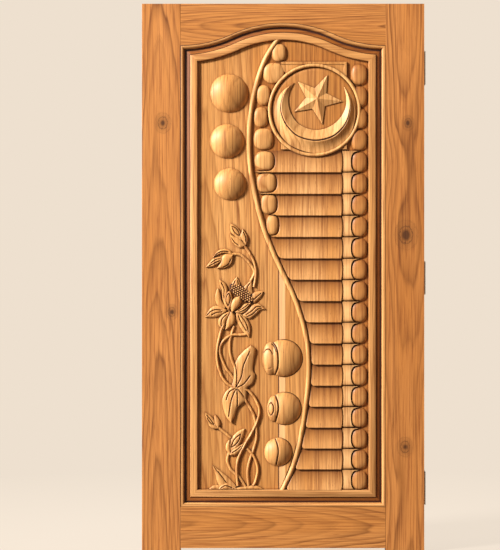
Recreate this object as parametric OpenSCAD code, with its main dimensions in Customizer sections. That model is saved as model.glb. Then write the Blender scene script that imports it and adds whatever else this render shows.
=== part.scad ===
// Carved door leaf: stiles and rails round an arched panel with carved relief, on three butt hinges.
// The carved face looks along -Y. The origin is on the floor, midway between the leaf's edges.

/* [Leaf] */
// Width of the leaf
leaf_w = 1067; // [950:1:1200]
// Height from the bottom rail's lower edge to the top edge
leaf_h = 2057; // [1950:1:2200]
// Thickness of the stiles and rails
leaf_t = 45; // [44:1:60]
// Length of the stile horns below the bottom rail
horn_l = 15; // [5:1:60]

/* [Stiles and rails] */
// Face width of each stile
stile_w = 146; // [130:1:170]
// Height of the top rail at its ends
top_rail_h = 157; // [150:1:190]
// Height of the bottom rail
bottom_rail_h = 156; // [140:1:220]
// Rise of the arch in the top rail
arch_rise = 85; // [60:1:100]
// Length of each tenon
tenon_l = 95; // [60:1:110]
// Height of each tenon
tenon_h = 100; // [70:1:105]
// Thickness of each tenon
tenon_t = 15; // [12:1:18]
// Shoulder between a tenon and the outer edge of its rail
tenon_shoulder = 24; // [15:1:30]
// Room round a tenon in its mortise
tenon_clear = 0.2; // [0.1:0.1:0.5]

/* [Panel] */
// Depth of the panel's ground below the face of the stiles
ground_d = 16; // [15:1:18]
// Depth of the panel's back below the back of the stiles
back_d = 7; // [4:1:8]
// Thickness of the panel's tongue
tongue_t = 10; // [8:1:12]
// Depth of the groove for the tongue
groove_d = 12; // [8:1:15]
// Room for the panel to move at each edge
panel_clear = 0.5; // [0.3:0.1:0.9]
// Height of the step between the two boards of the panel
step_h = 5; // [3:1:8]
// Width of the chamfer on that step
step_w = 24; // [12:1:30]

/* [Mouldings] */
// Width of the outer bead
edge_bead_w = 15; // [12:1:15]
// Flat lip at the top of the outer bead
edge_bead_lip = 1.5; // [1:0.5:3]
// Drop from the stile's face to that lip
edge_bead_drop = 1.2; // [0.5:0.1:2]
// Width of the quirk between the bead and the moulding
quirk_w = 7; // [4:1:9]
// Width of the moulding's outer slope
slope_w = 14; // [8:1:18]
// Width of the moulding's flat
flat_w = 28; // [18:1:34]
// Drop from the stile's face to the moulding's flat
flat_drop = 3; // [2:1:5]
// Radius on the flat's edges
flat_r = 3.5; // [2:0.5:4]

/* [Curved bead] */
// Width of the curved bead
s_bead_w = 20; // [14:1:24]
// Height of the curved bead above the ground
s_bead_h = 12; // [10:1:15]

/* [Log wall] */
// Number of courses from the bottom to the top of the medallion's plate
course_n = 20; // [16:1:24]
// Number of courses below the medallion's plate
log_n = 16; // [12:1:18]
// Height of a log's crest above the ground
log_h = 14; // [10:1:16]
// Height of the board behind the logs above the ground
slab_h = 2; // [1:0.5:3]
// Radius of the nose along a log's lower edge
nose_r = 6; // [3:1:10]
// Radius of a log's rounded face
log_r = 150; // [120:1:220]
// Rise of the curve at a log's right end
log_bulge = 6; // [3:1:9]
// Radius on a log's lower left corner
corner_r = 16; // [8:1:24]
// Width of the beads at the right ends of the courses
end_bead_w = 59; // [50:1:62]
// Height of the beads above the ground
end_bead_h = 14; // [10:1:16]
// Open line between carved pieces
carve_gap = 0.5; // [0.3:0.1:0.9]

/* [Medallion] */
// Outer radius of the ring
ring_r = 176; // [150:1:185]
// Width of the ring
ring_w = 13; // [9:1:18]
// Height of the ring above the panel's ground
ring_h = 14; // [11:1:18]
// Height of the disc's field above the panel's ground
field_h = 8; // [5:1:9]
// Radius of the crescent's outer edge
crescent_r = 147; // [130:1:148]
// Radius of the crescent's inner edge
crescent_inner_r = 111; // [104:1:116]
// Height of the crescent's ridge at its widest place
crescent_h = 15; // [8:1:18]
// Radius of the star at its points
star_r = 98; // [80:1:102]
// Height of the star's middle above the field
star_h = 17; // [10:1:22]
// Height of the star's edges above the field
star_edge_h = 4; // [2:1:6]
// Height of the square plate above the panel's ground
plate_h = 8; // [5:1:10]
// Width of the fillet along the plate's edges
fillet_w = 9; // [5:1:12]
// Height of that fillet above the plate
fillet_h = 2; // [1:0.5:3]

/* [Domes] */
// Height of each plain dome at its middle
dome_h = 30; // [20:1:34]
// Height of each grooved dome at its middle
grooved_h = 28; // [20:1:32]
// Radius of the groove on the lowest dome
groove_r = 1.6; // [1:0.1:2.5]

/* [Lotus] */
// Radius of the stems
stem_r = 6; // [4:0.5:8]
// Height of the stems above the ground
stem_h = 8; // [5:1:10]
// Height of the front petals above the ground
petal_h = 16; // [12:1:20]

/* [Hinges] */
// Height of each hinge
hinge_h = 125; // [100:1:130]
// Width of each hinge plate on the door's edge
plate_w = 32; // [28:1:36]
// Thickness of the hinge plates
plate_t = 3; // [2.5:0.5:3.5]
// Gap between the two plates of a closed hinge
hinge_gap = 3; // [2:0.5:4]
// Radius of the knuckles
knuckle_r = 6.5; // [6:0.5:8]
// Radius of the hinge pins
pin_r = 3; // [2.5:0.5:3.5]
// Radial clearance on the hinge pins
pin_clear = 0.05; // [0.02:0.01:0.09]
// Distance from the top edge to the top hinge's middle, and from the floor to the bottom one's
hinge_inset = 240; // [180:1:320]
// Hole spacing along a door plate
hole_pitch_l = 90; // [70:1:96]
// Hole spacing along a jamb plate, staggered so that no screw head faces another
jamb_pitch_l = 60; // [50:1:64]
// Hole spacing across a hinge plate
hole_pitch_w = 14; // [12:1:18]
// Radius of the screw holes
hole_r = 2.6; // [2.2:0.1:3]
// Radius of the screws' heads
head_r = 5; // [4.4:0.1:5.4]
// Length of the screws
screw_l = 32; // [20:1:40]

/* [Hidden] */
$fn = 96;
overrun = 1;
wood = "#cd8c50";
pale_wood = "#e1a564";
steel = "#b8b4ac";

// Edges of the leaf and of the arched opening, measured on the carved face: x right, y up, z outwards
half_w = leaf_w / 2;
open_half = half_w - stile_w;
open_y = horn_l + bottom_rail_h;
top_y = horn_l + leaf_h;
spring_y = top_y - top_rail_h;
crown_y = spring_y + arch_rise;
arch_r = (open_half * open_half + arch_rise * arch_rise) / (4 * arch_rise);
arch_a = 2 * atan(arch_rise / open_half);
ground = -ground_d;
panel_back = back_d - leaf_t;
groove_z = (ground + panel_back) / 2;
moulding_w = edge_bead_w + quirk_w + slope_w + flat_w;
field_inset = moulding_w + carve_gap;
tenon_z = -leaf_t / 2;

// Photo pixels of the field's edges inside the mouldings, and of what is carved on it
left_px = 197.5;
right_px = 368.6;
spring_px = 62.2;
sill_px = 489.9;
px_w = 2 * (open_half - moulding_w) / (right_px - left_px);
px_h = (spring_y - open_y - 2 * moulding_w) / (sill_px - spring_px);
px_r = min(px_w, px_h);
px_mid = (left_px + right_px) / 2;
function at(p) = [(p[0] - px_mid) * px_w, open_y + moulding_w + (sill_px - p[1]) * px_h];

s_top_px = [274.5, 43.3];
s_left_px = [248.5, 131];
s_right_px = [310.2, 363.6];
s_foot_px = [282, 491.5];
s_upper_share = 0.62;
step_px = [278.5, 267];
neck_px = 342.5;
course_top_px = 63.5;
left_beads_px = [
  [279, 52.4, 15, 18], [274, 73, 22, 21], [263.6, 95, 14, 20.6], [261, 117, 14.5, 20],
  [263.6, 139, 20, 21.6], [264.5, 161, 20, 20.4], [266.6, 182.7, 20, 20.6],
  [269, 204, 16.4, 20.6], [272.5, 225, 12.7, 21]
];
ring_px = [314.5, 110];
ring_r_px = 46.58;
ring_side_share = 0.690;
plate_top_px = 61.56;
plate_shares = [0.72, 0.69, 0.84, 1.04];
crescent_px = [316, 113.5];
crescent_inner_px = [318, 100];
star_px = [316.8, 98.6];
star_turn = 66;
star_notch_share = 0.42;
domes_px = [[229, 93, 19.4], [227, 141, 17.4], [230, 184, 16.3]];
grooved_px = [[284, 358.4, 19], [285.2, 408.8, 16.7], [278.4, 452.3, 14.4]];
lobes_px = [[277, 358.7, 15.3], [280.2, 408.9, 13]];
lobe_h_share = 0.9;
groove_turn = 4;

// Each petal: root, belly and tip, half-width at the belly, then its share of the petals' height
petals_px = [
  [[236, 292], [236.2, 285], [236.4, 277.4], 4.4, 0.45],
  [[245, 294], [248.5, 287], [251.2, 280.5], 4.4, 0.45],
  [[249, 301], [256.5, 296.5], [262.8, 291.7], 4.2, 0.5],
  [[229, 310], [219, 296], [219.5, 279.6], 5.2, 0.6],
  [[228, 312], [216.5, 313], [205.2, 317.1], 4.4, 0.6],
  [[236, 313], [253, 312.5], [265.9, 309.1], 4.8, 0.6],
  [[231, 312], [226.5, 320.5], [225.7, 329.6], 7.2, 0.75],
  [[233, 312], [241, 323.5], [248.5, 336.8], 5.2, 0.75],
  [[234, 312], [243, 307], [250.7, 303.8], 4.2, 0.8],
  [[230.5, 311], [227, 300.5], [229.3, 290.8], 5, 0.85],
  [[232, 312], [236, 303.5], [238, 295.7], 5.8, 1]
];
seed_head_px = [[235, 291], [243, 292.5], [249, 299]];
seed_head_r_px = 5.4;
seed_head_share = 0.68;
buds_px = [
  [[243.6, 247.5], [237, 236], [230.6, 223.4], 5.6, 0.6],
  [[244.5, 247.5], [245, 238], [242.7, 229], 4, 0.75],
  [[232, 254], [221, 255.5], [205.9, 266.7], 5.4, 0.6],
  [[231, 256], [224, 261], [216.8, 268.5], 3.6, 0.75],
  [[218.5, 428], [212.5, 420.5], [204.1, 412.9], 3.8, 0.6],
  [[218, 428], [213, 424], [209, 420], 2.6, 0.75],
  [[231, 454], [235.5, 442.5], [244.2, 429.2], 5.6, 0.6],
  [[230, 454.5], [229, 447], [235, 438], 3.6, 0.75],
  [[233, 486], [222, 480], [212.2, 465.8], 5, 0.5],
  [[220, 486], [217.5, 480], [212.6, 466.6], 2.4, 0.7]
];
leaf_px = [
  [250.7, 345.7], [255.6, 349.5], [254, 360.4], [252.9, 370], [255, 375.5], [252.9, 383], [247.5, 388.5],
  [245.3, 400.5], [237.7, 408], [234.5, 416.7], [231.2, 423.2], [226.9, 418], [223.6, 410], [222.2, 400.5],
  [225.8, 392], [231.2, 386.4], [233.4, 377.7], [234.5, 367], [237.7, 358], [244.2, 350.6]
];
leaf_middle_px = [[246, 360], [243, 378], [235, 398], [230, 411]];
leaf_middle_r_px = 5;
leaf_edge_share = 0.45;
leaf_middle_share = 0.75;
stems_px = [
  [[224, 324], [221.4, 330], [217.6, 346], [217.1, 360], [221.4, 375.5], [229, 385], [239, 389], [248.5, 391],
    [256, 400.5], [259.4, 411], [257, 422], [251.8, 433], [245.3, 444], [238.8, 457], [236.6, 469],
    [237.7, 486]],
  [[247, 334], [241, 335], [231, 335.4], [222.5, 342], [219.8, 350.6], [222.5, 361], [227, 370],
    [231.7, 375.5], [239, 388], [245.8, 401], [251.8, 411], [255, 420], [256.7, 434], [255, 445],
    [249, 463], [247.5, 474], [248.5, 486]],
  [[234, 326], [232.3, 332], [230, 341], [230, 352], [232.3, 361], [236, 370]],
  [[247, 448.7], [254, 457], [257.8, 469], [256, 480], [253.4, 486]],
  [[229, 453], [227.4, 461], [231, 470], [239.3, 477.4], [245.3, 486.7]],
  [[244, 246], [251.6, 256.4], [255.2, 267], [255.6, 276], [254, 287]],
  [[231, 254.2], [240, 254.6], [247, 260], [252.5, 267], [255.4, 273]],
  [[218, 427.5], [225, 433], [231, 438]]
];
mound_px = [[213, 487.7], [226, 485.2], [240, 487], [254, 486.2], [260.5, 487.9]];
mound_r_px = [1.6, 4, 2.2, 3, 1.4];
mound_share = 0.55;
root_share = 0.5;
tip_share = 0.12;
tip_h_share = 0.45;
crown_share = 0.55;

// Hinge places
pin_x = half_w + hinge_gap / 2;
pin_z = -leaf_t - knuckle_r - carve_gap;
hinge_ys = [hinge_inset, top_y / 2, top_y - hinge_inset];
knuckle_n = 5;
knuckle_l = hinge_h / knuckle_n;
knuckle_gap = 0.3;
sweep_clear = 0.4;
pin_head_r = 5.4;
pin_head_h = 3;
hole_z = -leaf_t + plate_w / 2;
head_h = head_r - hole_r;
screw_clear = 0.05;
head_sink = 0.5;

// Stands the carved face upright with its middle plane at Y = 0
module upright() translate([0, -leaf_t / 2, 0]) rotate([90, 0, 0]) children();
// An outline given as (across, outwards), run up the face from y0 to y1
module run_up(y0, y1) translate([0, y1, 0]) rotate([90, 0, 0]) linear_extrude(y1 - y0) children();
// An outline given as (up, outwards), run across the face from x0 to x1
module run_across(x0, x1) translate([x0, 0, 0]) rotate([90, 0, 90]) linear_extrude(x1 - x0) children();
// A flat shape on the face, from depth z0 out to z1
module slice(z0, z1) translate([0, 0, z0]) linear_extrude(z1 - z0) children();
// A closed skin over rings of points, from the first ring to the last
module skin(rings) {
  n = len(rings[0]);
  last = len(rings) - 1;
  polyhedron(
    points = [for (ring = rings, p = ring) p],
    faces = concat(
      [[for (k = [0:n - 1]) k], [for (k = [n - 1:-1:0]) last * n + k]],
      [for (i = [0:last - 1], k = [0:n - 1])
        [i * n + k, (i + 1) * n + k, (i + 1) * n + (k + 1) % n, i * n + (k + 1) % n]]));
}
function turn(a) = [cos(a), sin(a)];
function arc(c, r, a0, a1, n) = [for (i = [0:n]) c + r * turn(a0 + (a1 - a0) * i / n)];

// The arched opening, drawn in by d on every side
module opening(d) {
  x = open_half - d;
  meet_y = crown_y - arch_r + (arch_r - d) * cos(arch_a);
  difference() {
    translate([-x, open_y + d]) square([2 * x, meet_y - open_y - d]);
    for (s = [-1, 1]) translate([s * open_half, spring_y + arch_r]) circle(arch_r + d);
  }
  intersection() {
    translate([0, crown_y - arch_r]) circle(arch_r - d);
    translate([-x, meet_y]) square([2 * x, arch_rise]);
  }
}

module groove() slice(groove_z - tongue_t / 2 - panel_clear / 2, groove_z + tongue_t / 2 + panel_clear / 2)
  opening(-groove_d);

module tenon(y, room) translate([-tenon_l - room, y - room, tenon_z - tenon_t / 2 - room])
  cube([tenon_l + room + overrun, tenon_h + 2 * room, tenon_t + 2 * room]);

module stile() difference() {
  slice(-leaf_t, 0) translate([-half_w, 0]) square([stile_w, top_y]);
  groove();
  for (y = [horn_l + tenon_shoulder, top_y - tenon_shoulder - tenon_h])
    translate([-open_half, 0, 0]) tenon(y, tenon_clear);
}

module left_stile() color(wood) upright() stile();

module right_stile() color(wood) upright() difference() {
  mirror([1, 0, 0]) stile();
  for (y = hinge_ys) translate([half_w - plate_t, y - hinge_h / 2, -leaf_t - overrun])
    cube([plate_t + overrun, hinge_h, plate_w + overrun]);
  for (y = hinge_ys) screw_places(y, hole_pitch_l) rotate([0, -90, 0])
    cylinder(h = screw_l + screw_clear, r = hole_r);
}

module rail_tenons(y) for (s = [0, 1]) mirror([s, 0, 0]) translate([-open_half, 0, 0]) tenon(y, 0);

module top_rail() color(wood) upright() {
  difference() {
    slice(-leaf_t, 0) difference() {
      translate([-open_half, spring_y]) square([2 * open_half, top_rail_h]);
      opening(0);
    }
    groove();
  }
  rail_tenons(top_y - tenon_shoulder - tenon_h);
}

module bottom_rail() color(wood) upright() {
  difference() {
    slice(-leaf_t, 0) translate([-open_half, horn_l]) square([2 * open_half, bottom_rail_h]);
    groove();
  }
  rail_tenons(horn_l + tenon_shoulder);
}

// The S: four arcs, tangent to each other, through its top, leftmost, rightmost and lowest places
s_top = at(s_top_px);
s_left = at(s_left_px);
s_right = at(s_right_px);
s_foot = at(s_foot_px);
function bow(p) = (p[0] * p[0] + p[1] * p[1]) / (2 * abs(p[0]));
s_sum_r = bow(s_right - s_left);
s_bend = asin((s_left[1] - s_right[1]) / s_sum_r);
s_extra = 3;
// Each arc: middle, radius, first and last angle, and which side of the bead its middle lies on
s_arcs = [
  [s_left + [bow(s_top - s_left), 0], bow(s_top - s_left),
    180 - asin((s_top[1] - s_left[1]) / bow(s_top - s_left)) - s_extra, 180, 1],
  [s_left + [s_upper_share * s_sum_r, 0], s_upper_share * s_sum_r, 180, 180 + s_bend, 1],
  [s_right - [(1 - s_upper_share) * s_sum_r, 0], (1 - s_upper_share) * s_sum_r, s_bend, 0, -1],
  [s_right - [bow(s_foot - s_right), 0], bow(s_foot - s_right),
    0, -asin((s_right[1] - s_foot[1]) / bow(s_foot - s_right)) - s_extra, -1]
];
s_steps = 16;
// The S as points, moved sideways by d to the right
function s_line(d) = [for (k = [0:3], i = [min(k, 1):s_steps]) let (a = s_arcs[k])
  a[0] + (a[1] - a[4] * d) * turn(a[2] + (a[3] - a[2]) * i / s_steps)];
module left_of_s() polygon(concat(s_line(-s_bead_w / 2 - carve_gap), [[-half_w, 0], [-half_w, top_y]]));
module right_of_s() polygon(concat(s_line(s_bead_w / 2 + carve_gap), [[half_w, 0], [half_w, top_y]]));

// The ring hangs below the arch and shares out the room between the S bead and the right moulding
ring_room = open_half - moulding_w - s_left[0] - s_bead_w / 2 - 2 * ring_r;
ring_at = [
  s_left[0] + s_bead_w / 2 + ring_side_share * ring_room + ring_r,
  at([px_mid, plate_top_px])[1] - plate_shares[3] * ring_r
];
// A place in the medallion, which grows with its ring
function in_ring(p) = ring_at + [p[0] - ring_px[0], ring_px[1] - p[1]] * ring_r / ring_r_px;

// Section of the bead: across it, and above the ground
s_section = concat(
  [[s_bead_w / 2, 0]],
  arc([0, s_bead_h - s_bead_w / 2], s_bead_w / 2, 0, 180, 8),
  [[-s_bead_w / 2, 0]]);
module s_bead() color(pale_wood) upright() {
  lines = [for (p = s_section) [for (q = s_line(p[0])) concat(q, ground + p[1])]];
  intersection() {
    skin([for (i = [0:len(lines[0]) - 1]) [for (line = lines) line[i]]]);
    slice(ground - overrun, 0) opening(field_inset);
  }
}

module panel() color(pale_wood) upright() {
  slice(panel_back, ground) opening(panel_clear);
  slice(groove_z - tongue_t / 2, groove_z + tongue_t / 2) opening(panel_clear - groove_d);
  step = at(step_px);
  difference() {
    intersection() {
      run_up(open_y, step[1] + s_bead_w) polygon([
        [step[0], groove_z], [step[0], ground], [step[0] + step_w, ground + step_h],
        [open_half, ground + step_h], [open_half, groove_z]
      ]);
      slice(groove_z, 0) intersection() {
        left_of_s();
        opening(field_inset);
      }
    }
    for (d = concat(grooved_px, lobes_px)) translate(concat(at(d), ground))
      cylinder(h = ground_d, r = d[2] * px_r + carve_gap);
  }
}

// Where the side mouldings meet the arched and bottom ones
mitre_sag = arch_r + moulding_w - sqrt(pow(arch_r + moulding_w, 2) - pow(moulding_w, 2));
mitre_top = [-open_half + moulding_w, spring_y - moulding_w + mitre_sag];
mitre_low = [-open_half + moulding_w, open_y + moulding_w];
module side_part() slice(ground, 0)
  polygon([[-open_half, open_y], mitre_low, mitre_top, [-open_half, spring_y]]);
module low_part() slice(ground, 0)
  polygon([[-open_half, open_y], mitre_low, [-mitre_low[0], mitre_low[1]], [open_half, open_y]]);
module arch_part() slice(ground, 0)
  polygon([[-open_half, spring_y], mitre_top, [-mitre_top[0], mitre_top[1]], [open_half, spring_y],
    [open_half, top_y], [-open_half, top_y]]);

// Sections across the mouldings: distance in from the opening's edge, and height on the face
ovolo_r = min(edge_bead_w - edge_bead_lip, ground_d - edge_bead_drop);
edge_bead_points = concat(
  [[0, ground], [0, -edge_bead_drop]],
  arc([edge_bead_w - ovolo_r, -edge_bead_drop - ovolo_r], ovolo_r, 90, 0, 6),
  [[edge_bead_w, ground]]);
slope_u = edge_bead_w + quirk_w;
flat_u = slope_u + slope_w;
slope_foot = ground + flat_r / 2;
slope_head = ground + (ground_d - flat_drop) / 2;
moulding_points = concat(
  [[slope_u, ground], [slope_u, slope_foot], [flat_u, slope_head]],
  arc([flat_u + flat_r, -flat_drop - flat_r], flat_r, 180, 90, 3),
  arc([moulding_w - flat_r, -flat_drop - flat_r], flat_r, 90, 0, 3),
  [[moulding_w, ground]]);

module side_run(points) intersection() {
  translate([-open_half, 0, 0]) run_up(open_y, spring_y) polygon(points);
  side_part();
}
module low_run(points) intersection() {
  translate([0, open_y, 0]) run_across(-open_half, open_half) polygon(points);
  low_part();
}
// Three lengths, butted with a thin line where the curve turns
butt_gap = 0.1;
butt_a = asin(butt_gap / arch_r);
module arch_run(points) intersection() {
  union() {
    translate([0, crown_y - arch_r, 0]) rotate([0, 0, 90 - arch_a]) rotate_extrude(angle = 2 * arch_a)
      polygon([for (p = points) [arch_r - p[0], p[1]]]);
    for (s = [0, 1]) mirror([s, 0, 0]) translate([-open_half, spring_y + arch_r, 0]) rotate([0, 0, -90])
      rotate_extrude(angle = arch_a - butt_a) polygon([for (p = points) [arch_r + p[0], p[1]]]);
  }
  arch_part();
}

module edge_bead_left() color(wood) upright() side_run(edge_bead_points);
module edge_bead_right() color(wood) upright() mirror([1, 0, 0]) side_run(edge_bead_points);
module edge_bead_bottom() color(wood) upright() low_run(edge_bead_points);
module edge_bead_arch() color(wood) upright() arch_run(edge_bead_points);
module moulding_left() color(wood) upright() side_run(moulding_points);
module moulding_right() color(wood) upright() mirror([1, 0, 0]) side_run(moulding_points);
module moulding_bottom() color(wood) upright() low_run(moulding_points);
module moulding_arch() color(wood) upright() arch_run(moulding_points);

// The log wall: courses of one height from the sill moulding up to the medallion's plate
wall_y = open_y + field_inset;
course_h = (at([neck_px, course_top_px])[1] - wall_y) / course_n;
neck_x = at([neck_px, 0])[0];
end_bead_x = open_half - field_inset - end_bead_w / 2;
neck_w = end_bead_x - end_bead_w / 2 - neck_x;
slab_z = ground + slab_h;
crest_share = 0.3;
crest_y = crest_share * course_h;
function log_z(y) = ground + log_h - log_r + sqrt(log_r * log_r - (y - crest_y) * (y - crest_y));
log_steps = 8;
// Courses that end below the medallion
clear_n = floor((ring_at[1] - ring_r - carve_gap - wall_y) / course_h);
log_points = concat(
  arc([nose_r, log_z(nose_r) - nose_r], nose_r, 180, 90, 3),
  [for (i = [1:log_steps]) let (y = nose_r + (course_h - nose_r) * i / log_steps) [y, log_z(y)]]);
wall_points = concat(
  [[wall_y, slab_z - slab_h / 2]],
  [for (i = [0:log_n - 1], p = log_points) p + [wall_y + i * course_h, 0]],
  [[wall_y + log_n * course_h, slab_z - slab_h / 2]]);

// An oval of four arcs, for the rounded ends of the courses
oval_side_share = 1;
oval_end_share = 0.43;
module oval(w, h) {
  side_r = oval_side_share * w;
  end_r = oval_end_share * h;
  intersection() {
    intersection_for (k = [-1, 1]) translate([k * (side_r - w / 2), 0]) circle(side_r);
    intersection_for (k = [-1, 1]) translate([0, k * (h / 2 - end_r)]) union() {
      circle(end_r);
      translate([-w, k > 0 ? -h : 0]) square([2 * w, h]);
    }
  }
}
module end_bead(w, h, room) {
  rise = end_bead_h - slab_h;
  ball_r = (h * h / 4 + rise * rise) / (2 * rise);
  if (room > 0) slice(slab_z, 0) oval(w + 2 * room, h + 2 * room);
  else intersection() {
    slice(slab_z - overrun, 0) oval(w, h);
    translate([0, 0, ground + end_bead_h - ball_r]) sphere(ball_r);
  }
}
module right_bead(i, room) translate([end_bead_x, wall_y + (i + 1 / 2) * course_h, 0])
  end_bead(end_bead_w, course_h - carve_gap, room);
module left_bead(b, room) translate(concat(at(b), 0)) end_bead(b[2] * px_w, b[3] * px_h, room);
module neck(i) translate([neck_x, wall_y + i * course_h, 0]) run_up(0, course_h - nose_r / 2) polygon([
  [-log_bulge, slab_z - slab_h / 2], [-log_bulge, slab_z + log_h / 4], [neck_w + nose_r, ground + log_h],
  [neck_w + nose_r, slab_z - slab_h / 2]
]);

// Outline of the logs: along the S with rounded lower corners, and curved right ends
function s_at(y, d) = let (
  k = y > s_left[1] ? 0 : y > s_arcs[1][0][1] + s_arcs[1][1] * sin(180 + s_bend) ? 1 : y > s_right[1] ? 2 : 3,
  a = s_arcs[k]) a[0][0] - a[4] * sqrt(pow(a[1] - a[4] * d, 2) - pow(y - a[0][1], 2));
function log_left(i) = let (
  d = s_bead_w / 2 + carve_gap, low = wall_y + i * course_h, high = low + course_h, c = low + corner_r)
  concat([for (y = [high, (high + c) / 2]) [s_at(y, d), y]],
    arc([s_at(c, d) + corner_r, c], corner_r, 180, 270, 4));
end_r = (course_h * course_h / 4 + log_bulge * log_bulge) / (2 * log_bulge);
end_a = asin(course_h / 2 / end_r);
function log_right(i) = arc([neck_x - end_r, wall_y + (i + 1 / 2) * course_h], end_r, -end_a, end_a, 6);
module logs() polygon(concat(
  [for (i = [log_n - 1:-1:0], p = log_left(i)) p], [for (i = [0:log_n - 1], p = log_right(i)) p]));

// The square plate behind the ring, grown by d
plate_low = ring_at - ring_r * [plate_shares[0], plate_shares[2]];
plate_high = ring_at + ring_r * [plate_shares[1], plate_shares[3]];
module plate_outline(d) translate(plate_low - [d, d]) square(plate_high - plate_low + [2 * d, 2 * d]);
module medallion_room() {
  translate(concat(ring_at, slab_z)) cylinder(h = ground_d, r = ring_r + carve_gap);
  slice(slab_z, 0) plate_outline(carve_gap);
}

module log_wall() color(pale_wood) upright() {
  slice(ground, slab_z) intersection() {
    right_of_s();
    opening(field_inset);
  }
  intersection() {
    difference() {
      run_across(s_left[0], neck_x) polygon(wall_points);
      for (b = left_beads_px) left_bead(b, carve_gap);
      medallion_room();
    }
    slice(ground, 0) intersection() {
      logs();
      right_of_s();
    }
  }
  for (i = [0:log_n - 1]) difference() {
    neck(i);
    right_bead(i, carve_gap);
    if (i >= clear_n) medallion_room();
  }
  for (i = [0:clear_n - 1]) right_bead(i, 0);
  for (i = [clear_n:course_n - 1]) difference() {
    right_bead(i, 0);
    medallion_room();
  }
  for (b = left_beads_px) difference() {
    intersection() {
      left_bead(b, 0);
      slice(ground, 0) right_of_s();
    }
    medallion_room();
  }
}

module medallion_plate() color(pale_wood) upright() {
  difference() {
    union() {
      slice(slab_z, ground + plate_h) plate_outline(0);
      slice(slab_z, ground + plate_h + fillet_h) {
        translate([plate_low[0], plate_high[1] - fillet_w]) square([plate_high[0] - plate_low[0], fillet_w]);
        translate([plate_high[0] - fillet_w, plate_low[1]]) square([fillet_w, plate_high[1] - plate_low[1]]);
      }
    }
    translate(concat(ring_at, slab_z - overrun)) cylinder(h = ground_d, r = ring_r + carve_gap);
    translate([0, 0, slab_z]) end_bead_cuts();
  }
}
module end_bead_cuts() for (b = left_beads_px) translate(concat(at(b), -overrun))
  linear_extrude(ground_d) oval(b[2] * px_w + 2 * carve_gap, b[3] * px_h + 2 * carve_gap);

module medallion_disc() color(pale_wood) upright() translate(concat(ring_at, 0)) rotate_extrude() {
  translate([0, slab_z]) square([ring_r, field_h - slab_h]);
  difference() {
    translate([ring_r - ring_w / 2, ground + ring_h - ring_w / 2]) circle(ring_w / 2);
    translate([0, -leaf_t]) square([ring_r, leaf_t + ground + field_h - overrun]);
  }
}

// The crescent stays inside the ring
module crescent() color(pale_wood) upright() {
  crescent_at = in_ring(crescent_px);
  inner_at = in_ring(crescent_inner_px);
  slope = crescent_h / ((inner_at[1] - crescent_inner_r - crescent_at[1] + crescent_r) / 2);
  cone_h = 2 * crescent_h;
  cut_h = cone_h + overrun;
  z = ground + field_h;
  intersection() {
    difference() {
      translate(concat(crescent_at, z))
        cylinder(h = cone_h, r1 = crescent_r, r2 = crescent_r - cone_h / slope);
      translate(concat(inner_at, z))
        cylinder(h = cut_h, r1 = crescent_inner_r, r2 = crescent_inner_r + cut_h / slope);
    }
    translate(concat(ring_at, z)) cylinder(h = cone_h, r = ring_r - ring_w - carve_gap);
  }
}

module star() color(pale_wood) upright() translate(concat(in_ring(star_px), ground + field_h)) {
  rim = [for (i = [0:9]) (i % 2 == 0 ? star_r : star_notch_share * star_r) * turn(star_turn + 36 * i)];
  polyhedron(
    points = concat(
      [for (p = rim) concat(p, 0)], [for (p = rim) concat(p, star_edge_h)], [[0, 0, star_h], [0, 0, 0]]),
    faces = [for (i = [0:9], f = let (k = (i + 1) % 10)
      [[21, i, k], [i, 10 + i, 10 + k], [i, 10 + k, k], [10 + i, 20, 10 + k]]) f]);
}

// A low dome of base radius r and height h
module cap(r, h) intersection() {
  translate([0, 0, h - (r * r + h * h) / (2 * h)]) sphere((r * r + h * h) / (2 * h));
  cylinder(h = h + overrun, r = r + overrun);
}
module plain_dome(d) color(pale_wood) upright() translate(concat(at(d), ground)) cap(d[2] * px_r, dome_h);
module plain_dome_top() plain_dome(domes_px[0]);
module plain_dome_middle() plain_dome(domes_px[1]);
module plain_dome_low() plain_dome(domes_px[2]);

module lobed_dome(d, lobe) color(pale_wood) upright() {
  translate(concat(at(d), ground)) cap(d[2] * px_r, grooved_h);
  translate(concat(at(lobe), ground)) cap(lobe[2] * px_r, lobe_h_share * grooved_h);
}
module grooved_dome_top() lobed_dome(grooved_px[0], lobes_px[0]);
module grooved_dome_middle() lobed_dome(grooved_px[1], lobes_px[1]);
module grooved_dome_low() color(pale_wood) upright() {
  r = grooved_px[2][2] * px_r;
  ball_r = (r * r + grooved_h * grooved_h) / (2 * grooved_h);
  translate(concat(at(grooved_px[2]), ground)) difference() {
    cap(r, grooved_h);
    translate([0, 0, grooved_h - ball_r]) rotate([0, 90 - groove_turn, 0]) rotate_extrude()
      translate([ball_r, 0]) circle(groove_r);
  }
}

// A bump with a flat base, for the petals, stems and leaf to be drawn over
bump_fn = 14;
stem_turn = 30;
module bump(p, r, h) translate(concat(at(p), ground)) {
  cylinder(h = crown_share * h, r1 = r, r2 = r, $fn = bump_fn);
  cylinder(h = h, r1 = r, r2 = crown_share * r, $fn = bump_fn);
}
module petal(p) {
  r = p[3] * px_r;
  h = p[4] * petal_h;
  hull() {
    bump(p[0], root_share * r, h);
    bump(p[1], r, h);
  }
  hull() {
    bump(p[1], r, h);
    bump(p[2], tip_share * r, tip_h_share * h);
  }
}
// A stem: half an oval swept along its points
stem_section = [for (a = [0:stem_turn:180]) turn(a)];
function across(q, i) = let (d = q[min(i + 1, len(q) - 1)] - q[max(i - 1, 0)]) [-d[1], d[0]] / norm(d);
module stem(points) {
  q = [for (p = points) at(p)];
  skin([for (i = [0:len(q) - 1])
    [for (s = stem_section) concat(q[i] + s[0] * stem_r * across(q, i), ground + s[1] * stem_h)]]);
}

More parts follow.
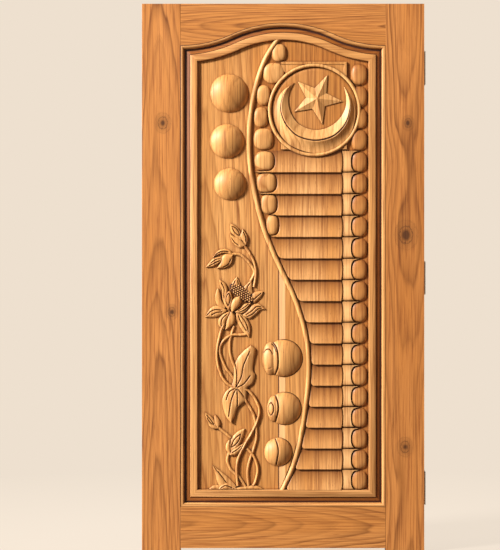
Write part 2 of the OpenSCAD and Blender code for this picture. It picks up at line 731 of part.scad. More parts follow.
module lotus_spray() color(pale_wood) upright() {
  for (p = concat(petals_px, buds_px)) petal(p);
  for (s = stems_px) stem(s);
  hull() for (p = seed_head_px) bump(p, seed_head_r_px * px_r, seed_head_share * petal_h);
  slice(ground, ground + leaf_edge_share * petal_h) polygon([for (p = leaf_px) at(p)]);
  for (i = [1:len(leaf_middle_px) - 1]) hull() for (k = [i - 1, i])
    bump(leaf_middle_px[k], leaf_middle_r_px * px_r, leaf_middle_share * petal_h);
  for (i = [1:len(mound_px) - 1]) hull() for (k = [i - 1, i])
    bump(mound_px[k], mound_r_px[k] * px_r, mound_share * petal_h);
}

// Places of a hinge's screws on the leaf's edge, pointing outwards along +X
module screw_places(y, pitch) for (i = [-1, 1], k = [-1, 1])
  translate([half_w, y + i * pitch / 2, hole_z + k * hole_pitch_w / 2]) children();

module hinge_screws() color(steel) upright() for (y = hinge_ys)
  screw_places(y, hole_pitch_l) rotate([0, -90, 0]) translate([0, 0, head_sink]) {
    cylinder(h = head_h - head_sink, r1 = head_r - head_sink - screw_clear, r2 = hole_r - screw_clear);
    cylinder(h = screw_l - head_sink, r = hole_r - screw_clear);
  }

// One hinge plate with its knuckles, before it is bored: on the leaf's edge, or facing it on the jamb
module hinge_plate(y, x, own) difference() {
  union() {
    translate([x, y - hinge_h / 2, pin_z]) cube([plate_t, hinge_h, plate_w - leaf_t - pin_z]);
    for (k = own) knuckle(y, k, knuckle_r, -knuckle_gap / 2);
  }
  for (k = [0:knuckle_n - 1]) if (len(search(k, own)) == 0)
    knuckle(y, k, knuckle_r + sweep_clear, knuckle_gap / 2);
  translate([pin_x, y - hinge_h, pin_z]) rotate([-90, 0, 0]) cylinder(h = 2 * hinge_h, r = pin_r + pin_clear);
}
module knuckle(y, k, r, grow) translate([pin_x, y - hinge_h / 2 + k * knuckle_l - grow, pin_z])
  rotate([-90, 0, 0]) cylinder(h = knuckle_l + 2 * grow, r = r);

module door_plate(y) color(steel) upright() difference() {
  hinge_plate(y, half_w - plate_t, [1, 3]);
  screw_places(y, hole_pitch_l) rotate([0, -90, 0]) {
    cylinder(h = head_h, r1 = head_r, r2 = hole_r);
    cylinder(h = plate_t + overrun, r = hole_r);
  }
}
module jamb_plate(y) color(steel) upright() difference() {
  hinge_plate(y, half_w + hinge_gap, [0, 2, 4]);
  translate([hinge_gap, 0, 0]) screw_places(y, jamb_pitch_l) rotate([0, 90, 0]) {
    cylinder(h = head_h, r1 = head_r, r2 = hole_r);
    cylinder(h = plate_t + overrun, r = hole_r);
  }
}
module hinge_pin(y) color(steel) upright() translate([pin_x, y - hinge_h / 2, pin_z]) rotate([-90, 0, 0]) {
  cylinder(h = hinge_h, r = pin_r);
  translate([0, 0, -pin_head_h]) cylinder(h = pin_head_h, r1 = pin_r, r2 = pin_head_r);
  translate([0, 0, hinge_h]) cylinder(h = pin_head_h, r1 = pin_head_r, r2 = pin_r);
}
module door_plate_low() door_plate(hinge_ys[0]);
module door_plate_middle() door_plate(hinge_ys[1]);
module door_plate_top() door_plate(hinge_ys[2]);
module jamb_plate_low() jamb_plate(hinge_ys[0]);
module jamb_plate_middle() jamb_plate(hinge_ys[1]);
module jamb_plate_top() jamb_plate(hinge_ys[2]);
module hinge_pin_low() hinge_pin(hinge_ys[0]);
module hinge_pin_middle() hinge_pin(hinge_ys[1]);
module hinge_pin_top() hinge_pin(hinge_ys[2]);

left_stile();
right_stile();
top_rail();
bottom_rail();
panel();
edge_bead_left();
edge_bead_right();
edge_bead_bottom();
edge_bead_arch();
moulding_left();
moulding_right();
moulding_bottom();
moulding_arch();
s_bead();
log_wall();
medallion_plate();
medallion_disc();
crescent();
star();
plain_dome_top();
plain_dome_middle();
plain_dome_low();
grooved_dome_top();
grooved_dome_middle();
grooved_dome_low();
lotus_spray();
hinge_screws();
door_plate_low();
door_plate_middle();
door_plate_top();
jamb_plate_low();
jamb_plate_middle();
jamb_plate_top();
hinge_pin_low();
hinge_pin_middle();
hinge_pin_top();
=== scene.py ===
import bisect
import math
import bpy
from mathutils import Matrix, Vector


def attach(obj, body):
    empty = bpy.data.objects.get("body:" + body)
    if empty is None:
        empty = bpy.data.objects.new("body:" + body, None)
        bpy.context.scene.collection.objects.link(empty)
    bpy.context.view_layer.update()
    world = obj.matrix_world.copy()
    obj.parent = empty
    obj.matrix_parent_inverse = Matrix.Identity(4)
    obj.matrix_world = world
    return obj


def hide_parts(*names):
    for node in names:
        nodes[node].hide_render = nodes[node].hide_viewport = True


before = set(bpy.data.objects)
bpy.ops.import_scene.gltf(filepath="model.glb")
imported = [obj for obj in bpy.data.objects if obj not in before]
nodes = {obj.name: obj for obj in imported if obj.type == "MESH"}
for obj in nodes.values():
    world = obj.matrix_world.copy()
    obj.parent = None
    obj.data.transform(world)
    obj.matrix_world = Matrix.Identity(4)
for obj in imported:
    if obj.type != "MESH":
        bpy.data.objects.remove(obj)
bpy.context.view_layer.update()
mm = 0.001
print("frame loaded:", len(nodes), "nodes")

# The carved face: its middle and sill in the photo, millimetres to a pixel (the field inside the mouldings
# is 647 by 1616 mm and 171.1 by 427.7 pixels), and how far forward the face and the carved ground lie
face = {
    "middlePx": 283.05, "sillPx": 489.9, "acrossMm": 647 / 171.1, "upMm": 1616 / 427.7, "sillMm": 235,
    "faceY": -22.5 * mm, "groundY": -6.5 * mm,
}


def onFace(px, out=0.0):
    # photo pixel and millimetres above the carved ground, as a point of the leaf
    x = (px[0] - face["middlePx"]) * face["acrossMm"] * mm
    z = (face["sillMm"] + (face["sillPx"] - px[1]) * face["upMm"]) * mm
    return Vector((x, face["groundY"] - out * mm, z))


def srgb(code):
    parts = [int(code[i:i + 2], 16) / 255 for i in (1, 3, 5)]
    return [c / 12.92 if c <= 0.04045 else ((c + 0.055) / 1.055) ** 2.4 for c in parts] + [1.0]


def addNode(tree, kind, inputs=(), stops=(), **settings):
    # inputs by name or in order, as values or as sockets to link; the outputs come back
    node = tree.nodes.new("ShaderNode" + kind)
    for key, value in settings.items():
        setattr(node, key, value)
    for key, value in inputs.items() if isinstance(inputs, dict) else enumerate(inputs):
        if isinstance(value, bpy.types.NodeSocket):
            tree.links.new(value, node.inputs[key])
        else:
            node.inputs[key].default_value = value
    if stops:
        ramp = node.color_ramp.elements
        while len(ramp) < len(stops):
            ramp.new(0.5)
        for element, (at, colour) in zip(ramp, stops):
            element.position = at
            element.color = colour
    return node.outputs


def emptyTree(owner):
    owner.use_nodes = True
    owner.node_tree.nodes.clear()
    return owner.node_tree


# Camera: straight at the carved face, as far off as a long lens needs
camera = {"away": 7.0, "sensor": 36.0, "frameTallPx": 550, "middlePx": (250, 275)}
tall = camera["frameTallPx"] * face["upMm"] * mm
bpy.ops.object.camera_add()
eye = bpy.context.active_object
eye.name = "photoCamera"
aim = onFace(camera["middlePx"])
eye.location = (aim.x, face["faceY"] - camera["away"], aim.z)
eye.rotation_euler = (math.pi / 2, 0, 0)
eye.data.sensor_width = camera["sensor"]
eye.data.lens = camera["sensor"] * camera["away"] / tall
bpy.context.scene.camera = eye
bpy.context.scene.view_settings.view_transform = "Standard"
print("camera placed")

# Studio: a large lamp from the upper left, one from the far left, a weak one from the right, one for the
# back of the door, and pale surroundings. Lamps as distance, turn, rise, size, power and colour.
lamps = {
    "key": (20.0, 55, 27, 3.3, 8150, "#FFFFFF"),
    "edge": (9.0, 84, 14, 2.5, 900, "#FFFFFF"),
    "fill": (5.0, -50, 20, 2.5, 9, "#FFC08A"),
    "back": (12.0, 215, 25, 4.0, 1200, "#FFFFFF"),
}
studio = {
    "aim": (0, 0, 1.05), "sky": 0.06, "skyColour": "#FFCF96", "paper": "#EEE0CF", "bounce": "#6B655D",
    "floorSize": 120, "floorGlow": 0.9, "shadowReach": (1.0, 3.0),
}
for name, (distance, turn, rise, size, power, colour) in lamps.items():
    turn, rise = math.radians(turn), math.radians(rise)
    away = Vector((-math.sin(turn) * math.cos(rise), -math.cos(turn) * math.cos(rise), math.sin(rise)))
    bpy.ops.object.light_add(type="AREA", location=Vector(studio["aim"]) + away * distance)
    light = bpy.context.active_object
    light.name = name + "Lamp"
    light.rotation_euler = (-away).to_track_quat("-Z", "Y").to_euler()
    light.data.size = size
    light.data.energy = power
    light.data.color = srgb(colour)[:3]
    # the lamp behind the door only lifts its back: it leaves no sheen on the top edge
    light.visible_glossy = name != "back"

world = bpy.data.worlds.new("studio")
bpy.context.scene.world = world
tree = emptyTree(world)
path = addNode(tree, "LightPath")
seen = addNode(tree, "Math", [path["Is Camera Ray"], path["Is Glossy Ray"]], operation="MAXIMUM")[0]
seen = addNode(tree, "Math", [seen, path["Is Transmission Ray"]], operation="MAXIMUM")[0]
soft = addNode(tree, "Background", {"Color": srgb(studio["skyColour"]), "Strength": studio["sky"]})[0]
paper = addNode(tree, "Background", {"Color": srgb(studio["paper"]), "Strength": 1.0})[0]
both = addNode(tree, "MixShader", [seen, soft, paper])[0]
addNode(tree, "OutputWorld", {"Surface": both})

# Matt paper: takes the door's shadow close by, is plain farther off, and throws little light back
bpy.ops.mesh.primitive_plane_add(size=studio["floorSize"])
floor = bpy.context.active_object
floor.name = "paleFloor"
paperFloor = bpy.data.materials.new("matt paper floor")
tree = emptyTree(paperFloor)
path = addNode(tree, "LightPath")
place = addNode(tree, "TexCoord")["Object"]
far = addNode(tree, "VectorMath", [place], operation="LENGTH")["Value"]
plain = addNode(tree, "MapRange", [far, *studio["shadowReach"], studio["floorGlow"], 1.0])[0]
glow = addNode(tree, "Math", [path["Is Camera Ray"], plain], operation="MULTIPLY")[0]
lit = addNode(tree, "BsdfDiffuse", {"Color": srgb(studio["paper"])})[0]
dim = addNode(tree, "BsdfDiffuse", {"Color": srgb(studio["bounce"])})[0]
flat = addNode(tree, "Emission", {"Color": srgb(studio["paper"]), "Strength": 1.0})[0]
under = addNode(tree, "MixShader", [path["Is Camera Ray"], dim, lit])[0]
both = addNode(tree, "MixShader", [glow, under, flat])[0]
addNode(tree, "OutputMaterial", {"Surface": both})
floor.data.materials.append(paperFloor)
print("studio lit")

# Log wall in photo pixels, with heights in millimetres: sixteen logs and twenty end beads, whose pitch grows
# upwards, and the beads at the left as middle, width and height
wall = {
    "sill": 490.8, "pitch": 20.743, "grow": 0.0313, "logs": 16, "courses": 20, "neckX": 343.2, "bulge": 1.4,
    "corner": 4.2, "tall": 14, "back": 3.5, "fall": 1.4, "nose": 0.7, "end": 1.0, "rim": 0.05, "gap": 0.35,
    "slab": 1, "top": 50, "tuck": 52, "tries": 3, "right": 368.4, "beadX": 359.3, "beadWide": 16.4,
    "beadTall": 14, "beadRound": 3.4, "oval": 2.6, "neckLow": 8, "neckHigh": 13, "neckFoot": 0.35,
    "neckRise": 10, "logGrid": (48, 26), "neckGrid": (8, 20), "beadGrid": (30, 30), "slabGrid": (12, 40),
    "leftBeads": [(279, 52.4, 15, 18), (274, 73, 22, 21), (263.6, 95, 14, 20.6), (261, 117, 14.5, 20),
        (263.6, 139, 20, 21.6), (264.5, 161, 20, 20.4), (266.6, 182.7, 20, 20.6), (269, 204, 16.4, 20.6),
        (272.5, 225, 12.7, 21)],
}


def courseY(i):
    return wall["sill"] - wall["pitch"] * i - wall["grow"] * i * i


# Oiled teak, planed and carved: dark late-wood lines, fine straight fibres, open pores, a low satin
# sheen, and painted shade darkening the carved corners. Each board has its own heart line, as
# (across, along) in metres, and its own tilt, which turns straight rings into pointed arches. Rings are
# in millimetres, knots are photo points with a size in millimetres, and tones are dark, middle and pale.
plainBoard = {"along": "z", "heart": (0.7, 0), "through": 0, "tilt": 0.0, "knots": []}
boards = {
    "left stile teak": {
        "heart": (-0.454, -1.9), "tilt": 0.026, "ring": 10, "tones": ("#6E3A12", "#BE793A", "#D18C4C"),
        "knots": [(163, 123, 23), (172, 312, 17)]},
    "right stile teak": {
        "heart": (0.465, 3.6), "tilt": -0.016, "ring": 11, "tones": ("#6E3A12", "#BE793A", "#D08B4B"),
        "knots": [(408, 123, 17), (406, 235, 33), (405, 447, 22)]},
    "top rail teak": {
        "along": "x", "heart": (1.985, 0.6), "tilt": 0.05, "ring": 8,
        "tones": ("#6E3A12", "#C07C3A", "#D48F4E")},
    "bottom rail teak": {
        "along": "x", "heart": (0.095, -1.2), "tilt": -0.06, "ring": 8,
        "tones": ("#6E3A12", "#C07C3A", "#D3904F")},
    # painted shade: near-black teak for quirks, cut lines, the bead's joint and the seed pad
    "stained teak": {
        "heart": (0.5, 0.0), "tilt": 0.01, "ring": 9, "tones": ("#260C02", "#3A1604", "#4A2009")},
    # painted shade: a darker teak for the ground between the logs and beads
    "wall ground teak": {"ring": 17, "tones": ("#7E4517", "#AD6A2C", "#C2803E")},
    "disc teak": {"ring": 19, "tones": ("#8E531F", "#BB7A38", "#D09050")},
    "dome teak": {
        "heart": (-0.55, 0), "through": 0.36, "ring": 24, "tones": ("#8A501E", "#CC8C48", "#E4AD6E")},
    # two boards joined below a photo point: a chamfer painted paler where it is lit, and the joint as a dark
    # line deepened with painted shade, as width, tint and strength
    "panel teak": {
        "heart": (-0.30, -1.6), "tilt": 0.045, "ring": 14, "tones": ("#93561F", "#C17F3C", "#E6AA67"),
        "seam": (278, 267), "strips": [(7.4, "#EDBE88", 0.42), (1.3, "#4A2006", 0.9)]},
    "relief teak": {
        "heart": (-0.07, -1.2), "tilt": 0.03, "ring": 14, "tones": ("#A8692F", "#D69650", "#E8AF6E")},
    # painted light: a paler copy of the relief teak for the raised beads, ring, crescent, star and seeds
    "bead teak": {
        "heart": (-0.07, -1.2), "tilt": 0.03, "ring": 16, "tones": ("#B5743A", "#DD9F59", "#ECB574")},
    # courses as share of the height and tone: painted shade, darkest under the course above
    "log teak": {
        "ring": 13, "tones": ("#B07036", "#CE8E4B", "#E6AE70"),
        "courses": [(0, 1), (0.3, 0.92), (0.7, 0.66), (1, 0.4)]},
    # painted light and shade: a pale teak for the lit necks, darker at the top and bottom of each course
    "neck teak": {
        "ring": 16, "tones": ("#C0864A", "#DDA668", "#EBBE86"),
        "courses": [(0, 0.7), (0.3, 0.95), (0.6, 1), (1, 0.72)]},
    # end grain, darker, with painted shade darkest at the top of each course
    "end bead teak": {
        "ring": 14, "tones": ("#9A5B24", "#CE8B48", "#DDA060"),
        "courses": [(0, 1), (0.35, 0.92), (0.75, 0.75), (1, 0.55)]},
}
# painted shade: the slopes of the mouldings are a darker copy of the moulding teak
mouldingTones = {"moulding": ("#A8692F", "#CE904E", "#DEA467"), "slope": ("#66340C", "#8E5119", "#A4632A")}
for kind, tones in mouldingTones.items():
    strip = {"tilt": 0.01, "ring": 9, "tones": tones}
    boards["upright " + kind + " teak"] = {"heart": (-0.1, 0.2), **strip}
    boards["lying " + kind + " teak"] = {"along": "x", "heart": (0.5, 0.0), **strip}
# Noises as waves to the metre across, through and along a board, with their detail. Fibres a millimetre apart
# would not show, so they are drawn about 4 mm apart.
grain = {
    "noises": {"sway": ((4, 4, 1.1), 1.0), "wobble": ((30, 6, 2.5), 2.0), "fibre": ((190, 40, 5), 4.0),
               "pore": ((420, 420, 14), 4.0), "cloud": ((9, 9, 0.9), 4.0)},
    "sway": 0.035, "wobble": 0.5, "year": (0.0, 1.0, 0.2, 1.0), "fading": (0.35, 0.65, 0.55, 1.0),
    "lateLine": [(0.0, 0.3), (0.1, 0), (0.45, 0.1), (0.75, 0.55), (0.9, 1), (1.0, 0.3)], "early": (0.3, 0.7),
    "fibreTint": [(0.3, srgb("#B89B7E")), (0.5, srgb("#F4EEE6")), (0.72, (1.12, 1.1, 1.06, 1))],
    "poreTint": [(0.62, (1, 1, 1, 1)), (0.74, srgb("#B08A62"))], "fibreShare": 0.8, "poreShare": 0.7,
    "courseWarmth": (1.35, 1.8), "paintedShade": "#3A1402", "paintedShadeReach": 10, "paintedShadeMost": 0.93,
    "paintedShadeAo": (0.35, 0.93), "paintedShadeSamples": 6, "gloss": (0.3, 0.7, 0.55, 0.4), "bump": 0.1, "bumpDeep": 0.4,
    "ior": 1.5, "specular": 0.36,
}
# Knots: how wide and long they part the grain; rows of four are ranges, from low and high to low and high
knot = {
    "wood": "#40200C", "wide": 55, "long": 5.6, "part": 0.72, "eyeHigh": 0.8, "ragged": 0.9, "turns": 1.8,
    "swirl": {"Scale": 1.6, "Detail": 2.0, "Distortion": 2.2}, "halo": (0.9, 2.1, 0.42, 0.0),
    "line": (0.55, 0.9, 0.0, 1.0), "inner": (0.7, 1.7, 0.75, 0.0), "pith": (0.7, 1.2, 0.9, 0.0),
}


def knotted(tree, place, wobble, aside, spots):
    # each knot parts the lines round itself, and has a brown eye with ragged rings and a dark pith
    core = None
    for x, y, size in spots:
        spot = addNode(tree, "VectorMath", [place, onFace((x, y))], operation="SUBTRACT")[0]
        wide, high = knot["wide"] * mm, knot["long"] * size * mm
        ring = addNode(tree, "VectorMath", [spot, (1 / wide, 0, 1 / high)], operation="MULTIPLY")[0]
        square = addNode(tree, "VectorMath", [ring, ring], operation="DOT_PRODUCT")["Value"]
        falling = addNode(tree, "Math", [square, -1.0], operation="MULTIPLY")[0]
        swell = addNode(tree, "Math", [falling], operation="EXPONENT")[0]
        parted = addNode(tree, "Math", [swell, -knot["part"]], operation="MULTIPLY")[0]
        fromKnot = addNode(tree, "SeparateXYZ", [spot])["X"]
        aside = addNode(tree, "Math", [parted, fromKnot, aside], operation="MULTIPLY_ADD")[0]
        eyeSize = (1 / (size * mm), 0, knot["eyeHigh"] / (size * mm))
        eyeShape = addNode(tree, "VectorMath", [spot, eyeSize], operation="MULTIPLY")[0]
        reach = addNode(tree, "VectorMath", [eyeShape], operation="LENGTH")["Value"]
        ragged = addNode(tree, "Math", [wobble, knot["ragged"], reach], operation="MULTIPLY_ADD")[0]
        swirl = addNode(tree, "TexNoise", {"Vector": eyeShape, **knot["swirl"]})["Fac"]
        eyeTurns = addNode(tree, "Math", [reach, knot["turns"], swirl], operation="MULTIPLY_ADD")[0]
        eyeRing = addNode(tree, "Math", [eyeTurns], operation="FRACT")[0]
        line = addNode(tree, "MapRange", [eyeRing, *knot["line"]])[0]
        inner = addNode(tree, "MapRange", [reach, *knot["inner"]])[0]
        pith = addNode(tree, "MapRange", [ragged, *knot["pith"]])[0]
        halo = addNode(tree, "MapRange", [ragged, *knot["halo"]])[0]
        dark = addNode(tree, "Math", [line, inner], operation="MULTIPLY")[0]
        for other in (pith, halo) if core is None else (pith, halo, core):
            dark = addNode(tree, "Math", [dark, other], operation="MAXIMUM")[0]
        core = dark
    return aside, core


def seamed(tree, place, board, colour):
    # the joint of the two panel boards, which shows in front only
    split = addNode(tree, "SeparateXYZ", [place])
    corner = onFace(board["seam"])
    limits = [("Z", "LESS_THAN", corner.z), ("Y", "LESS_THAN", 0.0), ("X", "GREATER_THAN", corner.x)]
    # painted light and shade: a paler strip for the lit chamfer, and a dark strip for the joint and the shade
    # in its crease
    for wide, tint, inside in board["strips"]:
        right = ("X", "LESS_THAN", corner.x + wide * face["acrossMm"] * mm)
        for axis, test, limit in limits + [right]:
            passed = addNode(tree, "Math", [split[axis], limit], operation=test)[0]
            inside = addNode(tree, "Math", [passed, inside], operation="MULTIPLY")[0]
        colour = addNode(tree, "Mix", {0: inside, 6: colour, 7: srgb(tint)}, data_type="RGBA")[2]
    return colour


def coursed(tree, place, board, colour):
    # painted shade: each course is darkened by its board's course tones, the logs most under the one above;
    # its number is worked out from the height
    height = addNode(tree, "SeparateXYZ", [place])["Z"]
    base, unit = onFace((0, wall["sill"])).z, face["upMm"] * mm
    a, b = wall["pitch"], wall["grow"]
    inner = addNode(tree, "MapRange", [height, base, base + unit, a * a, a * a + 4 * b], clamp=False)[0]
    root = addNode(tree, "Math", [inner, 0.5], operation="POWER")[0]
    number = addNode(tree, "MapRange", [root, a, a + 2 * b, 0.0, 1.0], clamp=False)[0]
    part = addNode(tree, "Math", [number], operation="FRACT")[0]
    green, blue = grain["courseWarmth"]
    stops = [(at, (tone, tone ** green, tone ** blue, 1)) for at, tone in board["courses"]]
    shade = addNode(tree, "ValToRGB", [part], stops=stops)[0]
    return addNode(tree, "Mix", {0: 1.0, 6: colour, 7: shade}, data_type="RGBA", blend_type="MULTIPLY")[2]


def teak(name, board):
    board = {**plainBoard, **board}
    mat = bpy.data.materials.new(name)
    tree = emptyTree(mat)
    place = addNode(tree, "TexCoord")["Object"]
    lying = board["along"] == "x"
    across, along = board["heart"]
    # across the board, through it, along it
    plank = addNode(tree, "Mapping", {
        "Vector": place, "Rotation": (0, math.pi / 2, 0) if lying else (0, 0, 0),
        "Location": (-across, -board["through"], along if lying else -along)})[0]
    noise = {}
    for part, (pitch, detail) in grain["noises"].items():
        scaled = addNode(tree, "VectorMath", [plank, pitch], operation="MULTIPLY")[0]
        noise[part] = addNode(tree, "TexNoise", {"Vector": scaled, "Scale": 1.0, "Detail": detail})
    wobble, fibre, cloud = (noise[part]["Fac"] for part in ("wobble", "fibre", "cloud"))
    centred = addNode(tree, "VectorMath", [noise["sway"]["Color"], (0.5, 0.5, 0.5)], operation="SUBTRACT")[0]
    swing = (2 * grain["sway"], 2 * grain["sway"], 0)
    bent = addNode(tree, "VectorMath", [centred, swing, plank], operation="MULTIPLY_ADD")[0]
    tilted = addNode(tree, "Mapping", {"Vector": bent, "Rotation": (board["tilt"], 0, 0)})[0]
    apart = addNode(tree, "SeparateXYZ", [tilted])
    aside, core = knotted(tree, place, wobble, apart["X"], board["knots"])
    crossed = addNode(tree, "CombineXYZ", {"X": aside, "Y": apart["Y"]})[0]
    radius = addNode(tree, "VectorMath", [crossed], operation="LENGTH")["Value"]
    turns = addNode(tree, "Math", [radius, board["ring"] * mm], operation="DIVIDE")[0]
    uneven = addNode(tree, "Math", [wobble, 2 * grain["wobble"], turns], operation="MULTIPLY_ADD")[0]
    ringNo = addNode(tree, "Math", [uneven], operation="FLOOR")[0]
    ringPart = addNode(tree, "Math", [uneven], operation="FRACT")[0]
    # no two years alike: some rings are strong, others hardly show, and all come and go along the board
    year = addNode(tree, "TexWhiteNoise", {"W": ringNo}, noise_dimensions="1D")["Value"]
    strong = addNode(tree, "MapRange", [year, *grain["year"]])[0]
    fading = addNode(tree, "MapRange", [cloud, *grain["fading"]])[0]
    stops = [(at, (tone, tone, tone, 1)) for at, tone in grain["lateLine"]]
    late = addNode(tree, "ValToRGB", [ringPart], stops=stops)[0]
    for share in (strong, fading):
        late = addNode(tree, "Math", [share, late], operation="MULTIPLY")[0]
    dark, mid, pale = map(srgb, board["tones"])
    early = addNode(tree, "ValToRGB", [cloud], stops=list(zip(grain["early"], (mid, pale))))[0]
    colour = addNode(tree, "Mix", {0: late, 6: early, 7: dark}, data_type="RGBA")[2]
    for part in ("fibre", "pore"):
        tint = addNode(tree, "ValToRGB", [noise[part]["Fac"]], stops=grain[part + "Tint"])[0]
        colour = addNode(tree, "Mix", {0: grain[part + "Share"], 6: colour, 7: tint},
                         data_type="RGBA", blend_type="MULTIPLY")[2]
    if "seam" in board:
        colour = seamed(tree, place, board, colour)
    if core is not None:
        colour = addNode(tree, "Mix", {0: core, 6: colour, 7: srgb(knot["wood"])}, data_type="RGBA")[2]
    if "courses" in board:
        colour = coursed(tree, place, board, colour)
    # painted shade: the colour darkens towards dark brown where occlusion finds corners and hollows
    reach = {"Distance": grain["paintedShadeReach"] * mm}
    hollow = addNode(tree, "AmbientOcclusion", reach, samples=grain["paintedShadeSamples"])["AO"]
    paintedShadeShare = addNode(tree, "MapRange", [hollow, *grain["paintedShadeAo"], grain["paintedShadeMost"], 0.0])[0]
    shadedColour = addNode(tree, "Mix", {0: paintedShadeShare, 6: colour, 7: srgb(grain["paintedShade"])}, data_type="RGBA")[2]
    gloss = addNode(tree, "MapRange", [fibre, *grain["gloss"]])[0]
    rough = addNode(tree, "Bump", {
        "Strength": grain["bump"], "Distance": grain["bumpDeep"] * mm, "Height": fibre})[0]
    shader = addNode(tree, "BsdfPrincipled", {
        "Base Color": shadedColour, "Roughness": gloss, "Normal": rough, "IOR": grain["ior"],
        "Specular IOR Level": grain["specular"]})[0]
    addNode(tree, "OutputMaterial", {"Surface": shader})
    return mat


materials = {name: teak(name, board) for name, board in boards.items()}
print("teak mixed:", len(materials))

# Brushed steel: drawn strip with faint lengthwise lines
steelForm = {"pitch": (900, 900, 30), "detail": 3.0, "tint": [(0.3, srgb("#A8A39B")), (0.7, srgb("#C4BFB6"))],
             "gloss": (0.3, 0.7, 0.42, 0.3)}
steel = bpy.data.materials.new("brushed steel")
tree = emptyTree(steel)
place = addNode(tree, "TexCoord")["Object"]
lines = addNode(tree, "VectorMath", [place, steelForm["pitch"]], operation="MULTIPLY")[0]
drawn = addNode(tree, "TexNoise", {"Vector": lines, "Scale": 1.0, "Detail": steelForm["detail"]})["Fac"]
tone = addNode(tree, "ValToRGB", [drawn], stops=steelForm["tint"])[0]
gloss = addNode(tree, "MapRange", [drawn, *steelForm["gloss"]])[0]
shader = addNode(tree, "BsdfPrincipled", {"Base Color": tone, "Roughness": gloss, "Metallic": 1.0})[0]
addNode(tree, "OutputMaterial", {"Surface": shader})
materials["brushed steel"] = steel


def pick(piece):
    bpy.ops.object.select_all(action="DESELECT")
    piece.select_set(True)
    bpy.context.view_layer.objects.active = piece


def dressPiece(piece, *names):
    piece.data.materials.clear()
    for name in names:
        piece.data.materials.append(materials[name])


def finishPiece(piece, *replaced, slot="relief_wood"):
    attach(piece, "leaf")
    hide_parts(*replaced)


# Corners closer than this are one corner
merging = 0.01 * mm

# Frame boards and hinges keep the solids' shapes; the boards' edges are softened
arris = {"width": 1.2, "segments": 2, "angle": 35}
for name in ("left_stile", "right_stile", "top_rail", "bottom_rail", "panel"):
    dressPiece(nodes[name], name.replace("_", " ") + " teak")
    weld = nodes[name].modifiers.new("weld", "WELD")
    weld.merge_threshold = merging
    soften = nodes[name].modifiers.new("arris", "BEVEL")
    soften.width = arris["width"] * mm
    soften.segments = arris["segments"]
    soften.limit_method = "ANGLE"
    soften.angle_limit = math.radians(arris["angle"])
for name, node in nodes.items():
    if name.startswith(("hinge", "door_plate", "jamb_plate")):
        dressPiece(node, "brushed steel")
print("frame dressed")


def gridPiece(name, across, along, *names):
    bpy.ops.object.select_all(action="DESELECT")
    bpy.ops.mesh.primitive_grid_add(x_subdivisions=across, y_subdivisions=along, size=2)
    piece = bpy.context.active_object
    piece.name = name
    dressPiece(piece, *names)
    return piece


def closeMesh(merge, smooth):
    # from edit mode: merges what lies together, and shades gentle bends as curves
    bpy.ops.mesh.select_all(action="SELECT")
    bpy.ops.mesh.remove_doubles(threshold=merge)
    bpy.ops.mesh.normals_make_consistent(inside=False)
    bpy.ops.object.mode_set(mode="OBJECT")
    bpy.ops.object.shade_smooth_by_angle(angle=math.radians(smooth))


# Mouldings swept round the arched opening, in millimetres: how far in from its edge, how far above the carved
# ground, and the kind of the strip that follows where it isn't plain
opening = {"half": 387.5, "sill": 171.0, "spring": 1915.0, "rise": 85.0, "arcSteps": 14, "smooth": 35}
mouldings = {
    "edgeBead": [(0.4, 0, "joint"), (0.4, 14.6, "joint"), (2.2, 15.6), (5, 15.6), (8.4, 14.6), (11.4, 12.2),
                 (13.6, 8), (14.9, 3), (15.1, 0)],
    "plantedMoulding": [(14.4, 0, "quirk"), (14.4, 0.8, "quirk"), (22, 0.8, "quirk"), (22.2, 2.2, "slope"),
                        (34.4, 7.6, "quirk"), (34.8, 4.4, "quirk"), (36.2, 4.4, "quirk"), (36.4, 9.4),
                        (37.2, 11.6), (39.4, 13), (59.5, 13), (62.2, 12.2), (63.6, 10.4), (64, 8), (64, 0)],
}
stripWoods = ["stained teak"] + [way + kind for way in ("upright ", "lying ")
                                  for kind in ("moulding teak", "slope teak")]
archR = (opening["half"] ** 2 + opening["rise"] ** 2) / (4 * opening["rise"])
archTurn = 2 * math.atan(opening["rise"] / opening["half"])


def openingLine(inset):
    # from the lower left corner up the left side, over the arch, and down to the lower right corner
    steps, spring = opening["arcSteps"], opening["spring"]
    outer, inner = archR + inset, archR - inset
    first = math.asin(inset / outer)
    left, over = [], []
    for k in range(steps + 1):
        turn = first + (archTurn - first) * k / steps
        left.append((outer * math.sin(turn) - opening["half"], spring + archR - outer * math.cos(turn)))
    for k in range(1, 2 * steps):
        turn = archTurn * (k / steps - 1)
        over.append((inner * math.sin(turn), spring + opening["rise"] - archR + inner * math.cos(turn)))
    right = [(-x, z) for x, z in reversed(left)]
    corner = (opening["half"] - inset, opening["sill"] + inset)
    return [(-corner[0], corner[1])] + left + over + right + [corner]


def stripWood(strip, j, around):
    # painted shade: the quirk, and the bead's joint at the left and over the arch, take the near-black teak
    if strip == "quirk" or strip == "joint" and j < around - 2:
        return "stained teak"
    way = "upright " if j in (0, around - 2) else "lying "
    return way + ("slope teak" if strip == "slope" else "moulding teak")


def sweepRound(name, profile):
    lines = [openingLine(row[0]) for row in profile]
    around, across = len(lines[0]), len(profile)
    piece = gridPiece(name, across, around, *stripWoods)
    for side in piece.data.polygons:
        i, j = int((side.center.x + 1) / 2 * across), int((side.center.y + 1) / 2 * around)
        strip = (*profile[i], "plain")[2]
        side.material_index = stripWoods.index(stripWood(strip, j, around))
    for v in piece.data.vertices:
        i, j = round((v.co.x + 1) / 2 * across) % across, round((v.co.y + 1) / 2 * around) % around
        x, z = lines[i][j]
        v.co = (x * mm, face["groundY"] - profile[i][1] * mm, z * mm)
    bpy.ops.object.mode_set(mode="EDIT")
    closeMesh(merging, opening["smooth"])
    return piece


for name, node in (("edgeBead", "edge_bead_"), ("plantedMoulding", "moulding_")):
    covered = [node + side for side in ("left", "right", "bottom", "arch")]
    finishPiece(sweepRound(name, mouldings[name]), *covered, slot="moulding_wood")
print("mouldings swept:", len(mouldings))
